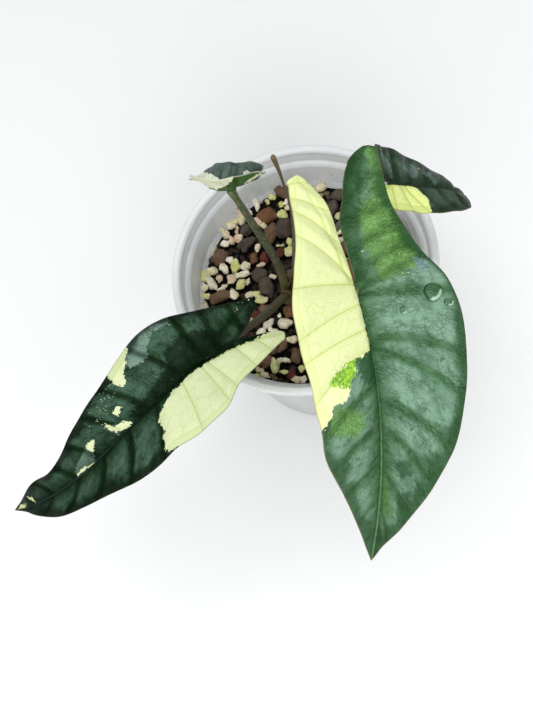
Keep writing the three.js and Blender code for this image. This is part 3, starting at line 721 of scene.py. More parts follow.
BLADE_THICKNESS = 0.8
MARGIN_SHARE = 0.5                                   # of the thickness, at the margin
MARGIN_TAPER = 2.5
PAD_HEIGHT = 0.9                                     # the skin bulges this far between side veins
RIB_DEPTH = 1.1
RIB_WIDTH = 1.7
FULL_LENGTH = 97                                     # the vein factors hold for this length
VEIN_START = (0.1, 0.009)
VEIN_FORWARD = (0.011, 0.001)
VEIN_BACKWARD = (-0.0066, 0.00024)
VEIN_BOW_FORWARD = 0.4                               # veins leave the midrib square and bend forward
VEIN_BOW_BACKWARD = 1.4                              # those of the lobes bend back early
SPINE_REACH = (-44, 112)                             # past the longest lobe and the longest tip
WAYPOINTS = (0, 0.5, 1)                              # shares of the length, for heading and pitch
FURROW_WIDTH = 2.6
BRIM_WIDTH = 5                                       # the flat band along the margin
WAVE_HEIGHT = 0.35                                   # of the margin's ripple
VEIN_GROOVE, RIB_GROOVE = 0.26, 0.42                 # depths of the fine grooves on top
VEIN_RIDGE = 0.3                                     # height of the side veins below
LOBE_RIB_START = 2.5                                 # how far out a lobe's rib sets off
MARK_REACH = 9.0                                     # depths in marks are cut off here

LEAF_1 = dict(
    sinus=(26, -41.4, 171), length=97, heading=(-75, -92, -109), pitch=(-20, -34, -52), roll=0,
    halves=(
        dict(
            lobe=38.8, round=4, rise=4, curl=-3, fold=(0, -4, -6, -4),
            outer=((-38.8, 14.5), (-37.2, 17.2), (-35, 18), (-31, 17.8), (-20, 17.5), (-10.8, 19.8),
                   (-2.4, 22.8), (6, 27.6), (16, 29.2), (34.4, 27.3), (52.5, 22.6), (66.6, 15.4),
                   (78.5, 8.8), (88, 3.4), (97, 0)),
            inner=((-38.8, 14.5), (-37.2, 11.8), (-35, 8.6), (-31, 6.1), (-25, 3.8), (-19, 1.2),
                   (-9, 0.7), (0, 0.4)),
            veins=((-27, 18, -32), (-19, 17.5, -20), (-11, 19, -14), (-4, 23, -8), (2, 27, -3), (4, 28.5, 9),
                   (16.5, 28, 26), (21, 26, 38), (36, 22, 54), (45, 16, 65), (60, 9, 76), (74, 4, 86)),
        ),
        dict(
            lobe=35.8, round=3, rise=-8, curl=0, fold=(30, 38, 36, 20),
            outer=((-35.8, 8), (-34.4, 11), (-24.8, 13.8), (-15.9, 16), (-8.4, 20.2), (1, 24.1),
                   (9, 25.4), (23.5, 24), (38.2, 21.7), (52.6, 18.8), (66, 12.4), (79, 6.9), (97, 0)),
            inner=((-35.8, 8), (-31.5, 4.3), (-24.3, 1.3), (-12, 0.7), (0, 0.4)),
            veins=((-26, 12, -29.5), (-17, 13.5, -26), (-2, 15, -18.8), (0.3, 21, -3.4), (6.2, 22.6, 11),
                   (14, 23.2, 18.4), (19.5, 21.4, 31), (31, 20, 44), (44.5, 17, 56), (57, 12, 67),
                   (70, 7, 79)),
        ),
    ),
)

LEAF_2 = dict(
    sinus=(-33.6, -47, 121), length=106, heading=(-142, -143, -180), pitch=(-4, -16, -34), roll=0,
    halves=(
        dict(
            lobe=29.4, round=2.5, rise=-6, curl=0, fold=(10, 12, 8, 8),
            outer=((-29.4, 13.9), (-27.5, 16), (-14.9, 16.8), (-4.3, 18.4), (4, 22.2), (16.8, 22.3),
                   (28, 20.2), (41.6, 19.5), (53.7, 15.5), (66.6, 11.8), (77, 10), (89, 5.4),
                   (98, 1.6), (106, 0)),
            inner=((-29.4, 13.9), (-27.3, 11.6), (-20.6, 7), (-13.9, 2.9), (-9, 1.9), (-5, 1.1), (0, 0.4)),
            veins=((-20, 16.4, -22), (-12, 16.6, -14), (0, 18.5, -4), (2, 21, 1), (11, 22, 15),
                   (24, 19.5, 33), (38, 17, 49), (52, 13, 62), (66, 10, 75), (80, 6, 87)),
        ),
        dict(
            lobe=28.5, round=2.5, rise=-6, curl=-8, fold=(10, 22, 14, 8),
            outer=((-28.5, 5.7), (-25.3, 7), (-18.5, 10.8), (-7.8, 16.7), (2.7, 21.9), (14.1, 23.6),
                   (30.3, 20.4), (54.1, 16.1), (67, 11.8), (78, 8.5), (89.8, 8.5), (98, 5.2), (106, 0)),
            inner=((-28.5, 5.7), (-27.4, 2.5), (-24.5, 0.6), (-19.7, -1.6), (-13.9, -2.5), (-9, -1.6),
                   (0, 0.2)),
            veins=((-19, 10, -20), (-8, 16, -11), (0, 20, -1), (10, 22, 19), (27, 19, 37), (40, 17, 50),
                   (54, 13, 64), (67, 10, 76), (80, 7, 88), (91, 4, 97)),
        ),
    ),
)

# The two small leaves have side veins of one pattern, scaled to the blade
SMALL_VEINS = ((-26, 20, -30), (-13, 22, -16), (0, 25, -3), (6, 26, 9), (20, 25, 28), (34, 22, 46),
               (48, 18, 60), (62, 12, 74), (76, 6, 86))


def small_veins(length, width):
    scale = length / FULL_LENGTH
    return [(v * scale, u * scale * width, w * scale) for v, u, w in SMALL_VEINS]


LEAF_3 = dict(
    sinus=(-17.7, 10.9, 142), length=36.7, heading=(179, 124, 160), pitch=(-16, -41, -36), roll=12,
    halves=(
        dict(
            lobe=14.9, round=1.5, rise=-11.6, curl=0, fold=(110, 96, 66, 54), veins=small_veins(36.7, 0.72),
            outer=((-14.9, 2.6), (-13.3, 3.7), (-9.4, 4.5), (-4.7, 5.1), (0, 5.7), (4.5, 6.4),
                   (9.1, 7), (14.4, 7.2), (19.7, 6.8), (25, 4.5), (30.3, 1.8), (34.1, 0.5), (36.7, 0)),
            inner=((-14.9, 2.6), (-13.7, 2.4), (-10.6, 2), (-7.4, 1), (-3.5, 0.3), (0, 0.3)),
        ),
        dict(
            lobe=14.9, round=1.5, rise=-18, curl=0, fold=(50, -1, 26, -19), veins=small_veins(36.7, 1),
            outer=((-14.9, 3.8), (-13.3, 5.5), (-9.4, 7.1), (-4.7, 8.4), (0, 9.9), (4.5, 10.7),
                   (9.1, 10.2), (14.4, 9.1), (19.7, 7.6), (25, 5), (30.3, 2.1), (34.1, 0.6), (36.7, 0)),
            inner=((-14.9, 3.8), (-13.7, 3), (-10.6, 0.6), (-7.4, 0.4), (-3.5, 0.4), (0, 0.4)),
        ),
    ),
)
LEAF_4 = dict(
    sinus=(37.7, 6.8, 142), length=46.6, heading=(22, 8, 5), pitch=(-46, -35, -87), roll=32,
    halves=(
        dict(
            lobe=16.6, round=2.4, rise=-30, curl=0, fold=(39, 16, 0, -15), veins=small_veins(46.6, 1.05),
            outer=((-16.6, 6), (-15.2, 8.6), (-11.1, 11.8), (-5.6, 13.1), (0, 14), (5.8, 14.3),
                   (11.5, 13.1), (18.3, 11.1), (25, 8.8), (31.7, 7), (38.5, 4), (43.3, 1.5), (46.6, 0)),
            inner=((-16.6, 6), (-15.6, 3.8), (-12.5, 2.9), (-8.8, 1.9), (-4.2, 0.9), (0, 0.6)),
        ),
        dict(
            lobe=17.6, round=2, rise=-41, curl=0, fold=(-24, -4, -15, -25),
            veins=((-9, 8, -11.5), (0.5, 9.5, -2.2), (4.4, 10, 5.8), (6.3, 9.6, 13.5), (13, 10, 22),
                   (21, 9.5, 30), (29, 7.5, 37), (37, 4.5, 42.5)),
            outer=((-17.6, 5.7), (-15.8, 8), (-11.1, 9.3), (-5.6, 10), (0, 10.7), (5.8, 11.2),
                   (11.5, 11.4), (18.3, 10.8), (25, 9.7), (31.7, 7.9), (38.5, 4.6), (43.3, 1.7), (46.6, 0)),
            inner=((-17.6, 5.7), (-16.2, 3.3), (-12.5, 1.4), (-8.8, 0.5), (-4.2, 0.6), (0, 0.5)),
        ),
    ),
)


def smooth(xs, ys, at):
    """The smooth curve through (xs, ys), read at each of the given places."""
    xs, ys = np.array(xs, float), np.array(ys, float)
    at = np.clip(at, xs[0], xs[-1])
    order = np.arange(len(xs))
    low, high = np.maximum(order - 1, 0), np.minimum(order + 1, len(xs) - 1)
    slope = (ys[high] - ys[low]) / (xs[high] - xs[low])
    i = np.clip(np.searchsorted(xs, at, side="right") - 1, 0, len(xs) - 2)
    h = xs[i + 1] - xs[i]
    t = (at - xs[i]) / h
    return ((2 * t ** 3 - 3 * t ** 2 + 1) * ys[i] + (t ** 3 - 2 * t ** 2 + t) * h * slope[i]
            + (3 * t ** 2 - 2 * t ** 3) * ys[i + 1] + (t ** 3 - t ** 2) * h * slope[i + 1])


def spine(leaf, half, v):
    """Place of the midrib at each v, the direction across it to the right, and out of its top."""
    def heading_and_line(w):
        t = np.maximum(w, 0) / leaf["length"]
        heading = np.radians(smooth(WAYPOINTS, leaf["heading"], t))
        lobe_pitch = leaf["pitch"][0] - half["rise"] * w / half["lobe"]
        pitch = np.radians(np.where(w >= 0, smooth(WAYPOINTS, leaf["pitch"], t), lobe_pitch))
        return heading, np.stack(
            [np.cos(pitch) * np.cos(heading), np.cos(pitch) * np.sin(heading), np.sin(pitch)], -1)

    step = 0.25
    stations = np.arange(*SPINE_REACH, step)
    moves = heading_and_line(stations + step / 2)[1] * step
    walk = np.concatenate([np.zeros((1, 3)), np.cumsum(moves, 0)])[:-1]
    walk -= walk[np.argmin(np.abs(stations))]
    place = np.stack([np.interp(v, stations, walk[:, k]) for k in range(3)], -1) + leaf["sinus"]
    heading, forward = heading_and_line(v)
    level = np.stack([np.sin(heading), -np.cos(heading), np.zeros_like(heading)], -1)
    up = np.cross(level, forward)
    roll = np.radians(leaf["roll"] * np.clip(v / leaf["length"], 0, 1))[..., None]
    return place, level * np.cos(roll) + up * np.sin(roll), up * np.cos(roll) - level * np.sin(roll)


def sweep(leaf, root, u):
    """How far the side vein from this root has swept towards the tip at u."""
    k = leaf["length"] / FULL_LENGTH
    slope = np.where(root >= 0, VEIN_FORWARD[0], VEIN_BACKWARD[0]) * root / k
    bend = np.where(root >= 0, VEIN_FORWARD[1], VEIN_BACKWARD[1]) * root / k
    return k * ((VEIN_START[0] + slope) * u / k + (VEIN_START[1] + bend) * (u / k) ** 2)


def root_of(leaf, v, u):
    """The root of the side vein through a point."""
    k = leaf["length"] / FULL_LENGTH
    w = u / k
    level = v / k - VEIN_START[0] * w - VEIN_START[1] * w * w
    slope = np.where(level >= 0, VEIN_FORWARD[0], VEIN_BACKWARD[0])
    bend = np.where(level >= 0, VEIN_FORWARD[1], VEIN_BACKWARD[1])
    return k * level / (1 + slope * w + bend * w * w)


def through_pairs(pairs, v):
    return smooth([p[0] for p in pairs], [p[1] for p in pairs], v)


def rounded_end(half, v, u):
    """The outline with its lobe end rounded: wider close to the end than the smooth curve is."""
    x = np.clip((v + half["lobe"]) / half["round"], 1e-3, 1)
    tip_u = half["outer"][0][1]
    return tip_u + (u - tip_u) * (np.sqrt(2 * x - x * x) / x) ** 0.5


def outer_at(half, v):
    return rounded_end(half, v, np.maximum(through_pairs(half["outer"], v), 0))


def inner_at(half, v):
    return np.where(v < 0, rounded_end(half, v, through_pairs(half["inner"], np.minimum(v, 0))), 0)


def rib_line(half, v):
    """How far out the main rib lies: on the midrib, or in a lobe on the lobe's own rib."""
    tip_u = half["outer"][0][1]
    back = np.clip(-v, 0, half["lobe"])
    return (LOBE_RIB_START * np.minimum(back / 5, 1)
            + (tip_u - LOBE_RIB_START) * (back / half["lobe"]) ** 1.5)


def lobe_share(v):
    """How strong the main rib is: full on the blade's body, weak far out in a lobe."""
    return np.clip(1 + v / 14, 0.25, 1)


def segment_distance(points, start, end):
    line = end - start
    t = np.clip(((points - start) @ line) / max(line @ line, 1e-9), 0, 1)
    return np.linalg.norm(points - start - t[..., None] * line, axis=-1)


def vein_phase(half, v, u):
    """Whole numbers on the side veins and even steps between them, and the veins' spacing in mm."""
    lines, slopes = [], []
    for root, reach, end in half["veins"]:
        start = float(rib_line(half, np.array(min(root, 0.0))))
        t = (u - start) / (reach - start)
        bow = VEIN_BOW_BACKWARD if end < root else VEIN_BOW_FORWARD
        lines.append(root + (end - root) * (bow * t + (1 - bow) * t * np.abs(t)))
        slopes.append((end - root) * (bow + 2 * (1 - bow) * np.abs(t)) / (reach - start))
    lines, slopes = np.array(lines), np.array(slopes)
    low = np.clip((v > lines).sum(0) - 1, 0, len(lines) - 2)[None]
    before, after = (np.take_along_axis(lines, low + k, 0)[0] for k in (0, 1))
    slope = np.take_along_axis(slopes, low, 0)[0]
    gap = np.maximum(after - before, 1.0)
    return low[0] + (v - before) / gap, gap / np.sqrt(1 + slope ** 2)


def vein_distance(phase, spacing):
    return np.abs(phase - np.round(phase)) * spacing


def depth_inside(v, u, outline):
    """Distance to an outline's border, positive inside it."""
    points = np.stack([v, u], -1)
    corners = np.array(outline, float)
    nearest = np.full(v.shape, 99.0)
    inside = np.zeros(v.shape, bool)
    for a, b in zip(corners, np.roll(corners, -1, 0)):
        nearest = np.minimum(nearest, segment_distance(points, a, b))
        if a[1] != b[1]:
            crossing = a[0] + (u - a[1]) * (b[0] - a[0]) / (b[1] - a[1])
            inside ^= ((a[1] > u) != (b[1] > u)) & (v < crossing)
    return np.where(inside, nearest, -nearest)


def on_blade(leaf, side, v, u, edge, lateral):
    """Points of the blade's middle surface, from the distances to its margin and side veins."""
    half = leaf["halves"][side]
    place, right, out = spine(leaf, half, v)
    t = np.where(v >= 0, v / leaf["length"], v / half["lobe"])
    fold = np.radians(smooth((-1, 0, 0.5, 1), half["fold"], t))
    curl = math.radians(half["curl"] or 0.01) / 10
    reach = (np.sin(fold + curl * u) - np.sin(fold)) / curl
    lift = (np.cos(fold) - np.cos(fold + curl * u)) / curl
    scale = min(1, leaf["length"] / 90 + 0.15)
    rib = np.abs(u - rib_line(half, v))
    rib_furrow = lobe_share(v) * np.exp(-(rib / (FURROW_WIDTH * scale)) ** 2)
    furrow = np.maximum(rib_furrow, np.exp(-(lateral / (FURROW_WIDTH * scale)) ** 2))
    brim = 1 - np.clip(edge / (BRIM_WIDTH * scale), 0, 1)
    pads = PAD_HEIGHT * scale * (1 - furrow) * (1 - brim ** 2)
    wave = WAVE_HEIGHT * scale * brim ** 2 * np.sin(v / (2.6 * scale) + half["lobe"])
    height = (pads + wave) * np.minimum(1, np.abs(u) / 2)
    sign = 1 if side == 1 else -1
    return (place + right * (sign * (reach - height * np.sin(fold)))[..., None]
            + out * (lift + height * np.cos(fold))[..., None])


def row_span(leaf, half, root):
    """Where the line of a side vein with this root enters and leaves the half's outline."""
    u = np.arange(-4, 40, 0.02)
    v = root + sweep(leaf, root, u)
    inside = (v >= -half["lobe"]) & (u >= inner_at(half, v)) & (u <= outer_at(half, v))
    if not inside.any():
        return 0.0, 0.0
    first = int(np.argmax(inside))
    gone = np.flatnonzero(~inside[first:])
    last = first + (gone[0] if len(gone) else len(u) - first) - 1
    return (0.0 if root >= 0 else u[first]), u[last]


def lobe_end(leaf, half):
    """The point of a lobe's outline that the rows, which follow the side veins, reach first."""
    v = np.linspace(-half["lobe"], 0, 400)
    ends = [(float(root_of(leaf, a, b)), a, b) for u in (outer_at(half, v), inner_at(half, v))
            for a, b in zip(v, u)]
    return min(ends)


def blade_mesh(name, leaf, marks, columns, row_step):
    """A blade: its middle surface in rows, then both faces and a rounded margin."""
    length = leaf["length"]
    layers = {key: [] for key in ("place", "plan", "lines", "edge", "marks_a", "marks_b")}
    quads, count, midrib = [], 0, {}
    for side, half in enumerate(leaf["halves"]):
        first_root, end_v, end_u = lobe_end(leaf, half)
        lobe_rows = int(1.4 * -first_root / row_step)
        roots = [first_root * math.cos(math.pi / 2 * j / lobe_rows) for j in range(1, lobe_rows)]
        body_rows = int(length / row_step)
        roots += [length * j / body_rows for j in range(body_rows)]
        spans = [row_span(leaf, half, root) for root in roots]
        along = np.linspace(0, 1, columns + 1) ** 1.1
        root = np.array(roots)[:, None]
        start, end = (np.array([span[k] for span in spans])[:, None] for k in (0, 1))
        u = start + (end - start) * along
        v = root + sweep(leaf, root, u)
        edge = np.minimum(end - u, np.where(root < 0, u - start, 99))
        # A single point at the lobe's end and at the tip closes the grid
        flat = [np.concatenate([[a], b.ravel(), [c]]) for a, b, c in (
            (end_v, v, length), (end_u, u, 0.0), (0.0, edge, 0.0))]
        v, u, edge = flat
        phase, spacing = vein_phase(half, v, u)
        lateral = vein_distance(phase, spacing)
        signed = u if side == 1 else -u
        layers["place"].append(on_blade(leaf, side, v, u, edge, lateral))
        layers["plan"].append(np.stack([signed, root_of(leaf, v, u), v], -1))
        layers["lines"].append(np.stack([phase, spacing, u - rib_line(half, v)], -1))
        layers["edge"].append(edge)
        for key, kinds in (("marks_a", ("cream", "lime", "yellow")),
                           ("marks_b", ("deep_and_shade", "grey", "fleck"))):
            depths = []
            for mark in kinds:
                outlines = marks.get((side, mark), ())
                found = [depth_inside(v, signed, outline) for outline in outlines]
                depths.append(np.clip(np.max(found, 0), -MARK_REACH, MARK_REACH) if found
                              else np.full(v.shape, -MARK_REACH))
            layers[key].append(np.stack(depths, -1))
        grid = count + 1 + np.arange(len(roots) * (columns + 1)).reshape(len(roots), columns + 1)
        for j, value in enumerate(roots):
            if value >= 0:
                if side == 0:
                    midrib[round(value, 4)] = grid[j, 0]
                else:
                    grid[j, 0] = midrib[round(value, 4)]
        ends = [np.full((1, columns + 1), n) for n in (count, count + len(v) - 1)]
        if side == 0:
            midrib["tip"] = count + len(v) - 1
        else:
            ends[1][:] = midrib["tip"]
        grid = np.concatenate([ends[0], grid, ends[1]])
        corners = [grid[:-1, :-1], grid[:-1, 1:], grid[1:, 1:], grid[1:, :-1]]
        if side == 0:
            corners = [corners[k] for k in (0, 3, 2, 1)]
        quads.append(np.stack(corners, -1).reshape(-1, 4))
        count += len(v)
    layers = {key: np.concatenate(parts) for key, parts in layers.items()}
    return thickened(name, leaf, layers, np.concatenate(quads))


def thickened(name, leaf, layers, quads):
    """The middle surface given its two faces, with veins grooved in above and raised below."""
    place = layers["place"]
    count = len(place)
    triangles = np.concatenate([quads[:, [0, 1, 2]], quads[:, [0, 2, 3]]])
    whole = (triangles[:, 0] != triangles[:, 1]) & (triangles[:, 1] != triangles[:, 2]) & (
        triangles[:, 2] != triangles[:, 0])
    triangles = triangles[whole]
    a, b, c = (place[triangles[:, k]] for k in range(3))
    normals = np.zeros_like(place)
    for k in range(3):
        np.add.at(normals, triangles[:, k], np.cross(b - a, c - a))
    normals /= np.maximum(np.linalg.norm(normals, axis=1), 1e-9)[:, None]
    phase, spacing, rib = layers["lines"].T
    lateral, rib, edge = vein_distance(phase, spacing), np.abs(rib), layers["edge"]
    v = layers["plan"][:, 2]
    size = min(1, leaf["length"] / 70)
    thin = MARGIN_SHARE + (1 - MARGIN_SHARE) * np.clip(edge / MARGIN_TAPER, 0, 1)
    inward = np.clip(edge / 1.5, 0, 1)
    groove = inward * size * (VEIN_GROOVE * np.exp(-(lateral / 0.5) ** 2)
                              + RIB_GROOVE * lobe_share(v) * np.exp(-(rib / 0.75) ** 2))
    taper = np.where(v >= 0, np.clip(1 - v / leaf["length"], 0, 1) ** 0.6, 0.4)
    ridge = (RIB_DEPTH * taper * np.exp(-(rib / RIB_WIDTH) ** 2)
             + inward * VEIN_RIDGE * np.exp(-(lateral / 0.6) ** 2)) * size
    half_thickness = BLADE_THICKNESS / 2 * thin
    top = place + normals * (half_thickness - groove)[:, None]
    under = place - normals * (half_thickness + ridge)[:, None]

    # The margin is the chain of edges that only one face has
    starts = triangles[:, [0, 1, 2]].ravel()
    ends = triangles[:, [1, 2, 0]].ravel()
    single = ~np.isin(starts * count + ends, ends * count + starts)
    p, q = starts[single], ends[single]
    outward = np.zeros_like(place)
    across = np.cross(place[q] - place[p], normals[p])
    np.add.at(outward, p, across)
    np.add.at(outward, q, across)
    outward /= np.maximum(np.linalg.norm(outward, axis=1), 1e-9)[:, None]
    brow = place + outward * 0.16 * BLADE_THICKNESS

    used = [tuple(dict.fromkeys(face)) for face in quads.tolist()]
    faces = [face for face in used if len(face) > 2]
    below = [tuple(n + count for n in reversed(face)) for face in faces]
    pairs = list(zip(p.tolist(), q.tolist()))
    rim = [(j, i, i + 2 * count, j + 2 * count) for i, j in pairs]
    rim += [(j + 2 * count, i + 2 * count, i + count, j + count) for i, j in pairs]
    verts = np.concatenate([top, under, brow]) * MM
    mesh = mesh_from(name, verts.tolist(), faces + below + rim)
    for key in ("plan", "lines", "marks_a", "marks_b"):
        keep_on(mesh, key, "FLOAT_VECTOR", np.tile(layers[key], (3, 1)))
    keep_on(mesh, "edge", "FLOAT", np.tile(edge, 3))
    keep_on(mesh, "under", "FLOAT", np.repeat([0.0, 1.0, 0.5], count))
    loose = bmesh.new()
    loose.from_mesh(mesh)
    bmesh.ops.delete(loose, geom=[vert for vert in loose.verts if not vert.link_faces], context="VERTS")
    loose.to_mesh(mesh)
    loose.free()
    return mesh


# Where the colours lie, as outlines in (v, u) with u below zero on the left half. The cream and
# lime sectors have no chlorophyll or little of it; their borders step along the small veins.
MARKS_1 = {
    (1, "cream"): [(
        (0, 0.5), (20.5, 0.5), (21, 2.5), (22, 4.5), (22, 7), (25.5, 7.5), (27.5, 10), (31.5, 11.5),
        (33.5, 12.5), (33, 16), (34, 18), (36.5, 17.5), (38.5, 19.5), (41, 21), (45, 22), (45, 40),
        (-60, 40), (-60, -9), (0, -9))],
    (1, "lime"): [((22, 6.5), (22, 9.5), (24, 15), (26.5, 18), (28.5, 14), (29.5, 10.5), (26, 8))],
    (1, "yellow"): [((38, 19), (34, 15.5), (35.5, 11), (39, 7), (43, 6.5), (45.5, 10), (42.5, 19))],
    (1, "deep_and_shade"): [((21, 0), (21, 2), (22.5, 6.5), (26, 7), (29.5, 5.5), (30, 0))],
    (0, "yellow"): [(
        (-38, -15), (-38, -19), (-16, -19), (-9.5, -19), (-4, -20.5), (0, -20), (1, -12.5), (1, -7.5),
        (-9, -6.2), (-19.5, -7), (-24, -12.5), (-31, -15)),
        ((58, -0.4), (66, -0.6), (77, -2.2), (75, -4), (68, -2.4), (60, -1.2))],
    (0, "fleck"): [((-21, -16), (3, -18), (3, -13), (-8, -12.5), (-20, -13.5))],
    (0, "grey"): [((-2, -19), (-2, -22.5), (0.5, -23.5), (2, -22), (2, -20))],
    # The first of these outlines is painted shade in the fold along the left lobe's inner edge; the others
    # are deep green
    (0, "deep_and_shade"): [((-39, -9), (-36, -13), (-26, -8), (-16, -5), (-8, -3.6), (0, -3), (0, 0), (-39, 0)),
                  ((35, -24), (35, -29), (44, -28), (53, -24), (52, -19.5), (49, -21), (45, -22.5)),
                  ((60, -14), (58, -20), (66, -18), (67, -14)),
                  ((67, -5), (66, -9), (74, -10.5), (79, -9), (77, -6)),
                  ((56, -4), (55.5, -9), (60, -10), (62, -6))],
}
MARKS_2 = {
    (0, "cream"): [(
        (-24.5, -10), (-17.5, -7.5), (-11.5, -5), (-6, -3.8), (0, -1.9), (11.5, -1.6), (12.6, -2.8),
        (16, -1.6), (17, -2.8), (20, -4), (24.5, -5), (27, -7.2), (26.6, -12.4), (29.4, -12.8),
        (29, -14.8), (31.4, -17.6), (28.6, -20), (26, -20.4), (26, -30), (-40, -30), (-40, -5))],
    (1, "cream"): [((18.5, 26), (18.5, 22), (22, 18.4), (24.7, 16), (26.5, 13), (28, 12.4), (30, 15.6),
                    (30.5, 20), (31, 26)),
                   ((35, 9.6), (33.5, 7.6), (37.5, 6), (38, 8.4)),
                   ((45, 9.2), (43, 7.2), (41, 4.4), (38.5, 4), (35.5, 2.5), (35.5, 0.4), (38, 0.8),
                    (42.3, 2.4), (43.5, 6)),
                   ((54.7, 7.2), (50.3, 6.4), (51.5, 4.8), (54, 3.4), (55.5, 5)),
                   ((57, 0), (66, 0.4), (65.9, 1.6), (61, 1.4)),
                   ((96.5, 4), (91.5, 3.2), (91.5, 0.8), (93.5, 2)),
                   ((106, -1), (102, 1.4), (97, 1.4), (98.5, 0))],
    (1, "grey"): [((22.5, 16.4), (19.5, 14.6), (14.7, 14), (12.8, 17), (8, 20.4), (0.8, 18), (-1, 22),
                   (-1, 26), (19, 26), (22, 18.4)),
                  ((54, 7.4), (50.5, 6.2), (54.5, 3), (56, 0), (66, 0), (66, 2), (59, 5.6)),
                  ((43, 7), (38, 3), (36, 0), (42, 1), (45, 8))],
    (1, "fleck"): [((30, 19), (31, 11), (38, 9), (54, 10), (50, 16)),
                   ((-29, 3), (-29, 9), (-20, 9), (-20, 4))],
    (1, "deep_and_shade"): [((-14, 2), (-8, 8), (0, 12.5), (8, 12), (12, 7), (22, 4.5), (34, 3.2), (34, 0), (-14, 0))],
}
MARKS_3 = {
    (0, "cream"): [((-2.1, -5.1), (-0.9, -4.2), (0.3, -3.7), (1, -2.7), (2.4, -2.4), (4.4, -1.4),
                    (7.5, -0.8), (60, -0.8), (60, -20), (-2.1, -20)),
                   ((-4.8, -1.4), (-8, -2.4), (-11.5, -3.2), (-14.4, -3.2), (-13.5, -2.7), (-9.2, -1.8),
                    (-4.7, -0.8))],
    (1, "cream"): [((8.7, -1), (8.7, 3.6), (11.3, 4), (15.8, 4), (24.8, 3.1), (28, 3.3), (31, 4), (50, 4),
                    (50, -1)),
                   ((-3.6, 4.9), (-5.8, 4.9), (-8.9, 3.5), (-8.9, 2.2), (-7.1, 2.2), (-4.3, 3.8))],
}
MARKS_4 = {
    (1, "cream"): [((-30, 0.2), (9.9, 0.2), (11.2, 0.9), (12.5, 2.6), (13.5, 3.9), (15.5, 5), (15.9, 6.5),
                    (15, 7.6), (15.5, 9.4), (15.7, 30), (-30, 30))],
    (1, "yellow"): [((9.9, 0.2), (11.2, 0.9), (13.5, 3.9), (15.9, 6.5), (15.7, 30), (60, 30), (60, 0.2))],
    (0, "cream"): [((15.5, -7.9), (16.2, -8.2), (16.2, -7.2), (15.6, -7.2))],
    (0, "grey"): [((8.6, -10.3), (11.4, -10.2), (14.4, -8.2), (14.9, -5.8), (12.9, -2.7), (11.4, -3.1),
                   (10.1, -4.6), (8.2, -6.2)),
                  ((17.8, -7.5), (21, -6.6), (21.9, -2.5), (21.3, -0.5), (20, -1), (19.3, -4), (17.4, -5.4)),
                  ((-5.1, -11.6), (-0.8, -11.2), (1.5, -6.7), (1, -1.6), (-0.5, -2.1), (-2.2, -5.6),
                   (-4.5, -9.1))],
}
COLLECTIVE_VEIN = 2.1                                # mm from the margin
LIME = display(160, 206, 56)
BRIGHTENING = 1.08                                   # of the cream in random patches and towards the tip
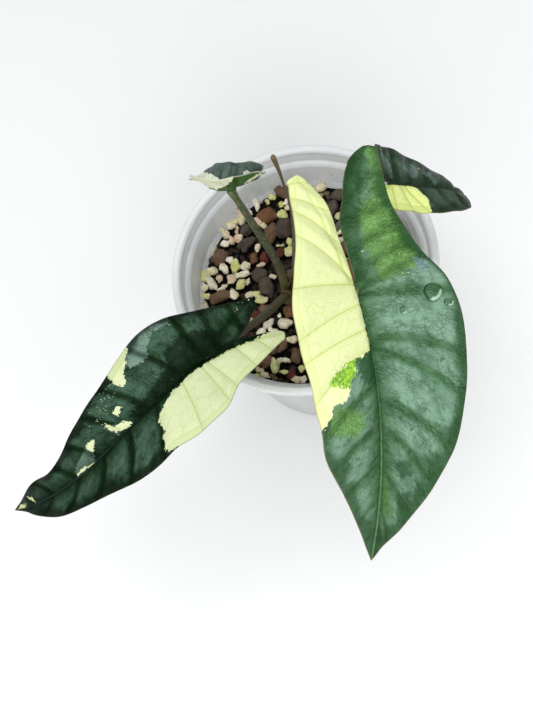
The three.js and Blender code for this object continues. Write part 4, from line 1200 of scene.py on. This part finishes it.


def leaf_skin(name, deep_and_shade, body, pad_bloom_and_sheen, cream, cream_vein, yellow, grey, fleck, under, margin, rib_tone,
              roughness, gloss, vein_shade, jag):
    """The finish of a blade from its own maps: distances to veins and margin, and depths in marks."""
    skin = Surface(name, IOR=1.45, Specular_IOR_Level=gloss)
    times, plus, less, most, step = skin.times, skin.plus, skin.less, skin.most, skin.step
    plan, signed_u, _, v = skin.attributes("plan")
    _, phase, spacing, rib_signed = skin.attributes("lines")
    _, cream_depth, lime_depth, yellow_depth = skin.attributes("marks_a")
    _, deep_and_shade_depth, grey_depth, fleck_depth = skin.attributes("marks_b")
    edge, below = skin.attribute("edge"), skin.attribute("under")

    def off_whole(value):
        return skin.absolute(less(skin.math("FRACT", plus(value, 100.5)), 0.5))

    lateral = times(off_whole(phase), spacing)
    rib = skin.absolute(rib_signed)
    fine = skin.noise(3.2, 3, 0.6, plan)
    middle = skin.noise(0.42, 3, 0.6, plan)
    broad = skin.noise(0.10, 3, 0.55, plan)

    # Small cells between the last veinlets: the marks step from cell to cell
    _, cell_chances = skin.cells(0.85, plan, distance="CHEBYCHEV")
    wobble = times(plus(times(less(cell_chances[0], 0.5), 1.2), times(less(fine, 0.5), 0.15)), jag)

    def share(depth, reach=1.0, soft=0.08):
        return step(plus(depth, times(wobble, reach)), -soft, soft)

    # Veinlets that branch off between the side veins, then a finer net
    between = skin.add("ShaderNodeCombineXYZ", {0: times(signed_u, 0.24), 1: times(phase, 1.9)}).outputs[0]
    swirl = skin.add("ShaderNodeTexNoise", {"Vector": plan, "Scale": 0.35, "Detail": 2.0}).outputs["Color"]
    bent = skin.add("ShaderNodeVectorMath", {0: between, 1: skin.stretched(swirl, (0.5, 0.5, 0.0))},
                    operation="ADD").outputs[0]
    branch_line = step(skin.borders(1.0, bent), 0.012, 0.055, 1.0, 0.0)
    net = step(skin.borders(0.62, plan), 0.01, 0.11, 1.0, 0.0)
    # Fine ripples in the skin beside the side veins
    ripple = off_whole(plus(times(phase, 12.0), times(skin.noise(0.55, 2, 0.5, plan), 3.4)))
    ripple_zone = step(skin.noise(0.16, 2, 0.5, plan), 0.4, 0.58)
    crease_shade = times(step(ripple, 0.04, 0.2, 1.0, 0.0), plus(0.25, times(ripple_zone, 0.75)))

    # Green parts: pads with a grey bloom and painted sheen, between deep green furrows of painted shade, in
    # sectors of unlike green
    _, sector_chances = skin.cells(0.14, plan, distance="CHEBYCHEV")
    # Painted sheen, partly real grey bloom: lighter on the pads, less towards the tip
    bloom_and_sheen = times(step(lateral, 0.4, 2.8), step(rib, 1.0, 6.0))
    bloom_and_sheen = times(bloom_and_sheen, step(broad, 0.34, 0.54, 0.4, 1.0))
    bloom_and_sheen = times(bloom_and_sheen, step(v, 35.0, 75.0, 1.0, 0.75))
    yellow_share = share(yellow_depth, 1.6, 1.2)
    rim_width = plus(edge, times(less(broad, 0.5), 9.0))
    from_dot, dot_chances = skin.cells(1.25, plan)
    spots = times(step(dot_chances[0], 0.70, 0.72), step(from_dot, 0.2, 0.34, 1.0, 0.0))
    spots = times(spots, step(middle, 0.44, 0.52))
    ground = skin.layered(
        deep_and_shade,
        (step(middle, 0.3, 0.7), body),
        (step(broad, 0.3, 0.6, 0.0, 0.6), body),
        (times(bloom_and_sheen, step(middle, 0.25, 0.6, 0.5, 1.0)), pad_bloom_and_sheen),
        (step(sector_chances[0], 0.62, 0.66, 0.0, 0.3), deep_and_shade),
        (step(sector_chances[1], 0.62, 0.66, 0.0, 0.3), pad_bloom_and_sheen),
        (times(yellow_share, 0.75), yellow),
        (times(yellow_share, times(net, 0.45)), deep_and_shade),
        (times(share(grey_depth, 1.2, 0.12), 0.85), grey),
        (times(share(deep_and_shade_depth, 1.4, 0.8), 0.8), deep_and_shade),
        # Painted shade in the side veins' furrows, in the broad trough along the midrib and in the ripples'
        # creases
        (times(step(lateral, 0.2, 2.2, 1.0, 0.0), vein_shade), deep_and_shade),
        (times(step(rib, 1.0, 8.0, 0.5, 0.0), step(v, -14.0, -2.0)), deep_and_shade),
        (times(crease_shade, 0.42), deep_and_shade),
        (times(branch_line, 0.22), deep_and_shade),
        (step(rim_width, 1.0, 4.0, 0.85, 0.0), deep_and_shade),
        # Painted shade in the midrib's groove
        (step(rib, 0.3, 1.6, 0.6, 0.0), deep_and_shade),
        (times(step(rib, 0.1, 0.4, 1.0, 0.0), step(v, 25.0, 60.0, 0.0, 0.7)), rib_tone),
        (times(spots, step(fleck_depth, -0.5, 1.5)), fleck))

    # Parts without green: the veins show as thin greener lines
    collective = skin.absolute(less(plus(edge, times(less(middle, 0.5), 1.5)), COLLECTIVE_VEIN))
    veined = step(lateral, 0.08, 0.42, 0.85, 0.0)
    for line in (
            times(branch_line, 0.26),
            times(net, 0.08),
            step(lateral, 0.2, 1.6, 0.25, 0.0),
            step(collective, 0.1, 0.4, 0.5, 0.0),
            step(edge, COLLECTIVE_VEIN - 0.8, COLLECTIVE_VEIN + 1.0, 0.32, 0.0),
            step(v, -30.0, 6.0, 0.12, 0.0),
            times(step(rib, 0.15, 0.9, 0.85, 0.0), step(v, -34.0, -8.0, 0.5, 1.0))):
        veined = most(veined, line)
    bright = tuple(min(1, part * BRIGHTENING) for part in cream)
    mottled = skin.blend(step(skin.noise(0.9, 2, 0.6, plan), 0.46, 0.56), LIME, yellow)
    pale = skin.layered(
        cream,
        (step(middle, 0.3, 0.7, 0.0, 0.5), bright),
        (step(v, 0.0, 30.0, 0.0, 0.8), bright),
        (veined, cream_vein),
        (share(lime_depth, 1.6), mottled))

    cream_share = share(cream_depth)
    face = skin.blend(cream_share, ground, pale)
    back_vein = most(times(step(lateral, 0.1, 0.36, 1.0, 0.0), 0.6), step(rib, 0.6, 2.0, 0.5, 0.0))
    back = skin.layered(
        under,
        (back_vein, yellow),
        (step(middle, 0.3, 0.7, 0.0, 0.3), deep_and_shade),
        # Painted shade: the cream below darkened with the vein tone
        (cream_share, skin.blend(0.5, pale, cream_vein)))
    skin.link(skin.layered(
        face,
        (step(below, 0.55, 0.95), back),
        (step(edge, 0.03, 0.22, 0.5, 0.0), margin)), "Base Color")
    uneven = step(middle, 0.2, 0.8, roughness - 0.04, roughness + 0.06)
    skin.link(plus(uneven, times(cream_share, 0.1)), "Roughness")
    ripple_height = times(step(ripple, 0.0, 0.45), times(
        less(1.0, times(cream_share, 0.75)), plus(0.08, times(ripple_zone, 0.18))))
    veinlets = times(most(branch_line, times(net, 0.5)), 0.018)
    skin.bump(less(plus(ripple_height, times(fine, 0.03)), veinlets), 1 * MM, 0.9)
    return skin.material


variegated = leaf_skin(
    "leaf_variegated", deep_and_shade=display(30, 74, 30), body=display(90, 132, 92), pad_bloom_and_sheen=display(122, 156, 133),
    cream=display(226, 233, 173), cream_vein=display(192, 206, 114),
    yellow=display(110, 158, 66), grey=display(120, 150, 152), fleck=display(206, 226, 120),
    under=display(112, 150, 104), margin=display(128, 120, 80), rib_tone=display(112, 150, 100),
    roughness=0.4, gloss=0.35, vein_shade=0.42, jag=0.8)
dark = leaf_skin(
    "leaf_dark", deep_and_shade=display(1, 19, 2), body=display(29, 63, 31), pad_bloom_and_sheen=display(70, 98, 80),
    cream=display(208, 216, 172), cream_vein=display(170, 184, 112),
    yellow=display(44, 88, 30), grey=display(124, 150, 136), fleck=display(214, 228, 190),
    under=display(34, 66, 32), margin=display(74, 66, 54), rib_tone=display(48, 72, 74),
    roughness=0.34, gloss=0.08, vein_shade=0.7, jag=0.75)
young_grey = leaf_skin(
    "leaf_young_grey", deep_and_shade=display(72, 92, 82), body=display(92, 112, 100), pad_bloom_and_sheen=display(124, 144, 132),
    cream=display(238, 240, 224), cream_vein=display(188, 194, 150),
    yellow=display(70, 104, 36), grey=display(126, 148, 138), fleck=display(220, 232, 216),
    under=display(46, 78, 18), margin=display(214, 214, 190), rib_tone=display(80, 104, 92),
    roughness=0.4, gloss=0.25, vein_shade=0.25, jag=0.35)
young_dark = leaf_skin(
    "leaf_young_dark", deep_and_shade=display(12, 40, 14), body=display(32, 66, 34), pad_bloom_and_sheen=display(82, 108, 88),
    cream=display(238, 248, 158), cream_vein=display(180, 200, 84),
    yellow=display(96, 120, 102), grey=display(116, 142, 130), fleck=display(210, 226, 170),
    under=display(60, 92, 48), margin=display(120, 96, 74), rib_tone=display(40, 66, 44),
    roughness=0.36, gloss=0.2, vein_shade=0.45, jag=0.5)

BLADES = (
    ("leaf_1_blade", LEAF_1, MARKS_1, 56, 0.65, variegated, "leaf_variegated"),
    ("leaf_2_blade", LEAF_2, MARKS_2, 52, 0.65, dark, "leaf_dark"),
    ("leaf_3_blade", LEAF_3, MARKS_3, 34, 0.4, young_grey, "leaf_dark"),
    ("leaf_4_blade", LEAF_4, MARKS_4, 34, 0.45, young_dark, "leaf_dark"),
)
for name, leaf, marks, columns, row_step, material, slot in BLADES:
    blade = new_object(name + "_skin", blade_mesh(name + "_skin", leaf, marks, columns, row_step), material)
    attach(blade, "root")
    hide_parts(name)


# Water: a few drops left on the largest blade after watering. They hold to the skin as low
# domes, wide where they run together.

DROPS = (                                            # place v and u, half length and width in mm, turn
    (8.4, 21.9, 3.1, 2.5, 105), (12.1, 25.8, 1.6, 1.1, 70), (11.2, 11.6, 1.2, 1.0, 0),
    (-9, 4.8, 0.9, 0.7, 30), (27, 20.5, 0.8, 0.7, 10), (46, 9.5, 0.7, 0.6, 60))
DROP_RINGS = 8
DROP_SIDES = 32
DROP_HEIGHT = 0.5                                    # of the half width
LIT_SIDE = np.array((0.7, -0.7, 0))                  # where a drop gathers the light
SUNK = 0.06                                          # mm, so that no gap shows under a drop


def upper_face(leaf, side, v, u):
    """Points of a blade's upper face, and the way out of it."""
    half = leaf["halves"][side]

    def middle_at(v, u):
        return on_blade(leaf, side, v, u, outer_at(half, v) - u, vein_distance(*vein_phase(half, v, u)))

    step = 0.2
    along = middle_at(v + step, u) - middle_at(v - step, u)
    across = middle_at(v, u + step) - middle_at(v, u - step)
    way = np.cross(along, across) if side == 0 else np.cross(across, along)
    way /= np.linalg.norm(way, axis=-1)[..., None]
    return middle_at(v, u) + way * BLADE_THICKNESS / 2, way


def drops_mesh(name):
    build = bmesh.new()
    rim, lit = (build.verts.layers.float.new(key) for key in ("rim", "lit"))
    for v, u, long, wide, turn in DROPS:
        radius = np.sqrt(np.linspace(0, 1, DROP_RINGS + 1))[1:, None]
        angles = np.linspace(0, 2 * math.pi, DROP_SIDES, endpoint=False)[None]
        lobes = 1 + 0.06 * np.sin(2 * angles + turn) + 0.05 * np.sin(3 * angles - turn)
        a, b = radius * long * np.cos(angles) * lobes, radius * wide * np.sin(angles) * lobes
        spin = math.radians(turn)
        places, ways = upper_face(LEAF_1, 0, v + a * math.cos(spin) - b * math.sin(spin),
                                  u + a * math.sin(spin) + b * math.cos(spin))
        way = ways.mean((0, 1)) / np.linalg.norm(ways.mean((0, 1)))
        dome = wide * DROP_HEIGHT * (1 - np.broadcast_to(radius, a.shape) ** 2) ** 0.6
        centre, _ = upper_face(LEAF_1, 0, np.array([v]), np.array([u]))
        skins = []
        for lift, peak in ((dome, wide * DROP_HEIGHT), (0 * dome, 0)):
            points = places + way * (lift - SUNK)[..., None]
            rings = [[build.verts.new(tuple(point * MM)) for point in ring] for ring in points]
            for ring, share, sides in zip(rings, radius.ravel(), (points - centre[0]) @ LIT_SIDE / wide):
                for vert, side in zip(ring, sides):
                    vert[rim], vert[lit] = share, side
            middle = build.verts.new(tuple((centre[0] + way * (peak - SUNK)) * MM))
            for i in range(DROP_SIDES):
                build.faces.new((middle, rings[0][i], rings[0][i - 1]))
                for inner, outer in zip(rings, rings[1:]):
                    build.faces.new((inner[i], outer[i], outer[i - 1], inner[i - 1]))
            skins.append(rings[-1])
        for i in range(DROP_SIDES):
            build.faces.new((skins[0][i], skins[1][i], skins[1][i - 1], skins[0][i - 1]))
    bmesh.ops.remove_doubles(build, verts=build.verts, dist=1e-6)
    bmesh.ops.recalc_face_normals(build, faces=build.faces)
    mesh = mesh_of(build, name)
    mesh.shade_smooth()
    return mesh


# The drops' colours are painted light: the leaf seen through them as a green body, painted shade along the
# rim away from the light, and a painted highlight where they gather it
water = Surface("clear_water", IOR=1.33, Roughness=0.02)
lit_side = water.attribute("lit")
from_centre = water.plus(water.attribute("rim"), water.times(water.noise(500, 1), 0.1))
painted_rim_shade = water.times(water.step(from_centre, 0.82, 1.0), water.step(lit_side, -0.2, 0.9, 1.0, 0.4))
painted_highlight = water.times(water.step(from_centre, 0.45, 0.65), water.step(from_centre, 0.88, 0.98, 1.0, 0.0))
painted_highlight = water.times(painted_highlight, water.step(lit_side, 0.3, 0.6))
water.link(water.layered(display(66, 108, 72), (painted_highlight, display(196, 228, 200)),
                         (painted_rim_shade, display(18, 52, 24))), "Base Color")
water_cover = water.most(water.times(painted_rim_shade, 0.85), water.times(painted_highlight, 0.6))
water.link(water.most(water_cover, 0.32), "Alpha")
drops = new_object("water_drops", drops_mesh("water_drops"), water.material)
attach(drops, "root")


# Stalks: fleshy leaf stalks that rise from the crown and bend over to their blades. Each ends
# in the underside of its blade, a little in front of the notch. The oldest is cut off and dried.

CROWN_TOP = 78                                       # mm, as are the other lengths of the stalks
CROWN_RING = 4                                       # the stalks stand this far out from its axis
FOOT_SWELLING = 0.25
STALK_SIDES = 24
STALK_STEPS = 90


def along_curve(points, count):
    """Evenly spaced points of the smooth curve through the given ones, and its direction there."""
    points = [np.array(p, float) for p in points]
    padded = [2 * points[0] - points[1], *points, 2 * points[-1] - points[-2]]
    dense = []
    for p0, p1, p2, p3 in zip(padded, padded[1:], padded[2:], padded[3:]):
        d0, d1, d2 = (math.sqrt(np.linalg.norm(b - a)) for a, b in ((p0, p1), (p1, p2), (p2, p3)))
        t1 = ((p1 - p0) / d0 - (p2 - p0) / (d0 + d1) + (p2 - p1) / d1) * d1
        t2 = ((p2 - p1) / d1 - (p3 - p1) / (d1 + d2) + (p3 - p2) / d2) * d1
        for t in np.linspace(0, 1, 60, endpoint=False):
            dense.append(p1 + t1 * t + (3 * (p2 - p1) - 2 * t1 - t2) * t ** 2
                         + (2 * (p1 - p2) + t1 + t2) * t ** 3)
    dense = np.array([*dense, points[-1]])
    walked = np.concatenate([[0], np.cumsum(np.linalg.norm(np.diff(dense, axis=0), axis=1))])
    at = np.linspace(0, walked[-1], count)
    places = np.stack([np.interp(at, walked, dense[:, k]) for k in range(3)], -1)
    lines = np.gradient(places, axis=0)
    return places, lines / np.linalg.norm(lines, axis=1)[:, None], at


def tube_mesh(name, points, radius_at, end_short=0.0):
    """A round stalk along a curve, with domed ends. Its map holds (length along, angle, share)."""
    places, lines, at = along_curve(points, STALK_STEPS)
    keep = at <= at[-1] - end_short
    places, lines, at = places[keep], lines[keep], at[keep]
    across = np.cross(lines[0], (0.3, 1, 0.2))
    verts, maps = [], []
    angles = np.linspace(0, 2 * math.pi, STALK_SIDES, endpoint=False)
    for place, line, length in zip(places, lines, at):
        across = across - line * (across @ line)
        across /= np.linalg.norm(across)
        other = np.cross(line, across)
        t = length / at[-1]
        ring = radius_at(t) * (1 + 0.03 * np.sin(3 * angles + 5 * t) + 0.02 * np.sin(2 * angles - 9 * t))
        verts += [tuple(place + across * r * math.cos(a) + other * r * math.sin(a))
                  for r, a in zip(ring, angles)]
        maps += [(length, a, t) for a in angles]
    rings = len(places)
    faces = [(j * STALK_SIDES + i, j * STALK_SIDES + (i + 1) % STALK_SIDES,
              (j + 1) * STALK_SIDES + (i + 1) % STALK_SIDES, (j + 1) * STALK_SIDES + i)
             for j in range(rings - 1) for i in range(STALK_SIDES)]
    for ring, way, pick in ((0, -1, 0), (rings - 1, 1, -1)):
        base = list(range(ring * STALK_SIDES, (ring + 1) * STALK_SIDES))
        centre, line, radius = places[pick], lines[pick] * way, radius_at(float(ring > 0))
        previous = base
        for lift, width in ((0.3, 0.9), (0.5, 0.6)):
            fresh = []
            for n in base:
                verts.append(tuple(centre + (np.array(verts[n]) - centre) * width + line * radius * lift))
                maps.append(maps[n])
                fresh.append(len(verts) - 1)
            for i in range(STALK_SIDES):
                j = (i + 1) % STALK_SIDES
                face = (previous[i], previous[j], fresh[j], fresh[i])
                faces.append(face if way == 1 else face[::-1])
            previous = fresh
        verts.append(tuple(centre + line * radius * 0.56))
        maps.append(maps[base[0]])
        for i in range(STALK_SIDES):
            face = (previous[i], previous[(i + 1) % STALK_SIDES], len(verts) - 1)
            faces.append(face if way == 1 else face[::-1])
    mesh = mesh_from(name, (np.array(verts) * MM).tolist(), faces)
    keep_on(mesh, "stalk", "FLOAT_VECTOR", maps)
    return mesh


def foot_of(angle):
    """Where a stalk stands on the crown, which is given by the angle round it."""
    turn = math.radians(angle)
    x, y = CROWN_AXIS
    return (x + CROWN_RING * math.cos(turn), y + CROWN_RING * math.sin(turn), CROWN_TOP + 0.3)


def tapering(base, top, flare):
    """A stalk's radius at each share of its length: swollen at the foot, flared under the blade."""
    return lambda share: (top + (base - top) * (1 - share) + FOOT_SWELLING * math.exp(-(share / 0.06) ** 2)
                          + flare * math.exp(-((1 - share) / 0.05) ** 2))


def withered(share):
    """The old stalk's radius: thinner upwards, then thicker towards its blunt end."""
    return 1.2 - 0.65 * min(1, share / 0.7) + 0.5 * max(0, (share - 0.8) / 0.2)


def stalk_skin(name, low, middle, high, streak, roughness):
    skin = Surface(name, Specular_IOR_Level=0.45)
    _, along, angle, share = skin.attributes("stalk")
    ramp = skin.add("ShaderNodeValToRGB", {"Fac": share})
    ramp.color_ramp.elements[0].color = (*low, 1)
    ramp.color_ramp.elements[1].color = (*high, 1)
    for position in (0.3, 0.8):
        ramp.color_ramp.elements.new(position).color = (*middle, 1)
    wrapped = skin.add("ShaderNodeCombineXYZ", {
        0: skin.times(skin.math("COSINE", angle), 1.6), 1: skin.times(skin.math("SINE", angle), 1.6),
        2: along}).outputs[0]
    fibres = skin.noise(2.4, 3, 0.6, skin.stretched(wrapped, (1, 1, 0.16)))
    speckle = skin.noise(5.5, 2, 0.6, skin.stretched(wrapped, (1, 1, 0.6)))
    blotch = skin.noise(0.5, 3, 0.6, wrapped)
    skin.link(skin.layered(
        ramp.outputs["Color"],
        (skin.step(fibres, 0.45, 0.72, 0.0, 0.4), streak),
        (skin.step(speckle, 0.58, 0.7, 0.0, 0.35), streak),
        (skin.step(blotch, 0.45, 0.65, 0.0, 0.5), low)), "Base Color")
    skin.link(skin.step(blotch, 0.3, 0.7, roughness - 0.05, roughness + 0.1), "Roughness")
    skin.bump(skin.plus(fibres, skin.times(speckle, 0.4)), 0.22 * MM, 0.7)
    return skin.material


green_stalk = stalk_skin("stalk_green", display(122, 114, 66), display(52, 62, 42), display(52, 78, 28),
                         display(150, 152, 126), 0.4)
brown_stalk = stalk_skin("stalk_brown", display(88, 82, 54), display(66, 62, 44), display(66, 46, 34),
                         display(112, 108, 82), 0.42)
dry_skin = stalk_skin("stalk_dry", display(84, 62, 44), display(98, 84, 68), display(116, 100, 66),
                      display(150, 134, 110), 0.75)

STALKS = (       # node, blade, place on the crown, radius below and above, flare, how far short, way, finish
    ("leaf_1_stalk", LEAF_1, 313, 2.1, 1.6, 0.6, 0.9, ((6, -17, 112), (19, -33, 150)), green_stalk),
    ("leaf_2_stalk", LEAF_2, 235, 1.8, 1.4, 0, 2.6, ((-15.4, -23, 98), (-21.5, -32.6, 109)), brown_stalk),
    ("leaf_3_stalk", LEAF_3, 150, 1.9, 1.25, 0.5, 0.9,
     ((-8.9, -2.5, 88), (-10.2, 0.8, 99), (-13, 4.3, 110), (-16.4, 7.8, 125)), green_stalk),
    ("leaf_4_stalk", LEAF_4, 15, 1.6, 1.05, 0.6, 0.9, ((8, 0, 105), (26, 6, 130)), green_stalk),
)
stalk_routes = {}
for name, leaf, angle, base, top, flare, end_short, way, material in STALKS:
    foot = foot_of(angle)
    joint = spine(leaf, leaf["halves"][0], np.array([top * 1.8]))[0][0]
    route = (foot, (foot[0], foot[1], foot[2] + 5), *way, tuple(joint))
    stalk_routes[name] = route, base
    mesh = tube_mesh(name + "_skin", route, tapering(base, top, flare), end_short)
    stalk = new_object(name + "_skin", mesh, material)
    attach(stalk, "root")
    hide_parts(name)

old_foot = foot_of(75)
old_way = (old_foot, (old_foot[0], old_foot[1], 84), (-2.8, 10, 96), (-1.8, 16.5, 110), (-2.6, 20, 127),
           (-2.7, 19.9, 136), (-3, 19.3, 146))
old_stalk = new_object("old_leaf_stalk_skin", tube_mesh("old_leaf_stalk_skin", old_way, withered), dry_skin)
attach(old_stalk, "root")
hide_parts("old_leaf_stalk")


# Crown: the short stem under the stalks, barky and ringed by old leaf scars. Thin dry sheaths,
# split down one side, stay wrapped round the stalks' feet.

SHEATH_THICKNESS = 0.3                               # mm
SHEATH_SLIT = 0.5                                    # radians to each side, at the foot
SHEATH_LOOSENESS = 0.15
SHEATH_FLARE = 0.35
SHEATH_ROWS = 14
SHEATH_COLUMNS = 20

bark = Surface("crown_bark", Roughness=0.85, Specular_IOR_Level=0.3)
bark_rings = bark.noise(160, 4, 0.65, bark.stretched(bark.place, (1, 1, 5)))
bark_tone = bark.blend(bark.step(bark_rings, 0.35, 0.7), display(44, 30, 20), display(96, 74, 50))
bark.link(bark_tone, "Base Color")
bark.bump(bark_rings, 0.6 * MM, 0.9)
for crown_slot in frame["nodes"]["crown"].material_slots:
    crown_slot.material = bark.material

papery = Surface("sheath_paper", Roughness=0.6, Specular_IOR_Level=0.35)
sheath_fibres = papery.noise(900, 3, 0.6, papery.stretched(papery.place, (1, 1, 0.1)))
sheath_patches = papery.noise(260, 3, 0.6)
papery.link(papery.layered(
    display(92, 90, 50),
    (papery.step(sheath_patches, 0.38, 0.6), display(112, 84, 54)),
    (papery.step(sheath_fibres, 0.4, 0.7, 0.0, 0.7), display(62, 44, 30))), "Base Color")
papery.bump(sheath_fibres, 0.15 * MM, 0.8)


def sheath(build, route, radius, length, slit_way):
    """One dry sheath: a split sleeve round the foot of a stalk, highest opposite its slit."""
    places, lines, at = along_curve(route, 400)
    across = np.cross(lines[0], (math.sin(slit_way), -math.cos(slit_way), 0))
    across /= np.linalg.norm(across)
    grids = []
    for skin_offset in (SHEATH_THICKNESS, 0):
        rows = []
        for j in range(SHEATH_ROWS + 1):
            row = []
            for i in range(SHEATH_COLUMNS + 1):
                side = 2 * i / SHEATH_COLUMNS - 1
                up = j / SHEATH_ROWS
                share = up * (1 - 0.55 * abs(side) ** 1.6 + 0.04 * math.sin(9 * side))
                place, line = (
                    np.array([np.interp(share * length, at, values[:, k]) for k in range(3)])
                    for values in (places, lines))
                out = across - line * (across @ line)
                out /= np.linalg.norm(out)
                angle = side * (math.pi - SHEATH_SLIT - 0.6 * up)
                way = out * math.cos(angle) + np.cross(line, out) * math.sin(angle)
                reach = radius + SHEATH_LOOSENESS + SHEATH_FLARE * up ** 3 + skin_offset
                row.append(build.verts.new(tuple((place + way * reach) * MM)))
            rows.append(row)
        grids.append(rows)
    outer, inner = grids
    border = [(0, i) for i in range(SHEATH_COLUMNS)] + [(j, SHEATH_COLUMNS) for j in range(SHEATH_ROWS)]
    border += [(SHEATH_ROWS, i) for i in range(SHEATH_COLUMNS, 0, -1)]
    border += [(j, 0) for j in range(SHEATH_ROWS, 0, -1)]
    for (j, i), (q, p) in zip(border, border[1:] + border[:1]):
        build.faces.new((outer[j][i], outer[q][p], inner[q][p], inner[j][i]))
    for rows in grids:
        for low, high in zip(rows, rows[1:]):
            for i in range(SHEATH_COLUMNS):
                build.faces.new((low[i], low[i + 1], high[i + 1], high[i]))


sheath_build = bmesh.new()
for node, length, slit_way in (("leaf_1_stalk", 13, 5.0), ("leaf_2_stalk", 9, 1.2),
                               ("leaf_3_stalk", 8, 0.4), ("leaf_4_stalk", 9, 3.4)):
    sheath(sheath_build, *stalk_routes[node], length, slit_way)
bmesh.ops.recalc_face_normals(sheath_build, faces=sheath_build.faces)
sheaths = new_object("crown_sheaths", mesh_of(sheath_build, "crown_sheaths"), papery.material)
sheaths.data.shade_smooth()
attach(sheaths, "root")


# Stage: a white table in a bright room, with the soft, even light of the photograph: a large
# window in front of the plant and a weaker light overhead.

paper = Surface("table_paper", Roughness=0.9, Specular_IOR_Level=0.2)
paper.link(paper.blend(paper.noise(3, 2), (0.88, 0.88, 0.88), (0.9, 0.9, 0.9)), "Base Color")
TABLE = 2.5
corners = [(-TABLE, -TABLE, 0), (TABLE, -TABLE, 0), (TABLE, TABLE, 0), (-TABLE, TABLE, 0)]
floor = new_object("table", mesh_from("table", corners, [(0, 1, 2, 3)]), paper.material)

world = bpy.data.worlds.new("room")
world.use_nodes = True
world.node_tree.nodes["Background"].inputs["Color"].default_value = (0.96, 0.985, 1, 1)
world.node_tree.nodes["Background"].inputs["Strength"].default_value = 0.52
bpy.context.scene.world = world
bpy.context.scene.view_settings.view_transform = "Standard"


def soft_light(name, place, width, height, power):
    light = bpy.data.lights.new(name, "AREA")
    light.shape = "RECTANGLE"
    light.size, light.size_y = width, height
    light.energy = power
    lamp = bpy.data.objects.new(name, light)
    lamp.location = place
    lamp.rotation_euler = (Vector((0, 0, 0.1)) - lamp.location).to_track_quat("-Z", "Y").to_euler()
    bpy.context.scene.collection.objects.link(lamp)


soft_light("window", (0.15, -0.8, 0.75), 0.9, 0.6, 6.5)
soft_light("ceiling", (-0.1, 0.1, 1.1), 0.8, 0.8, 5)
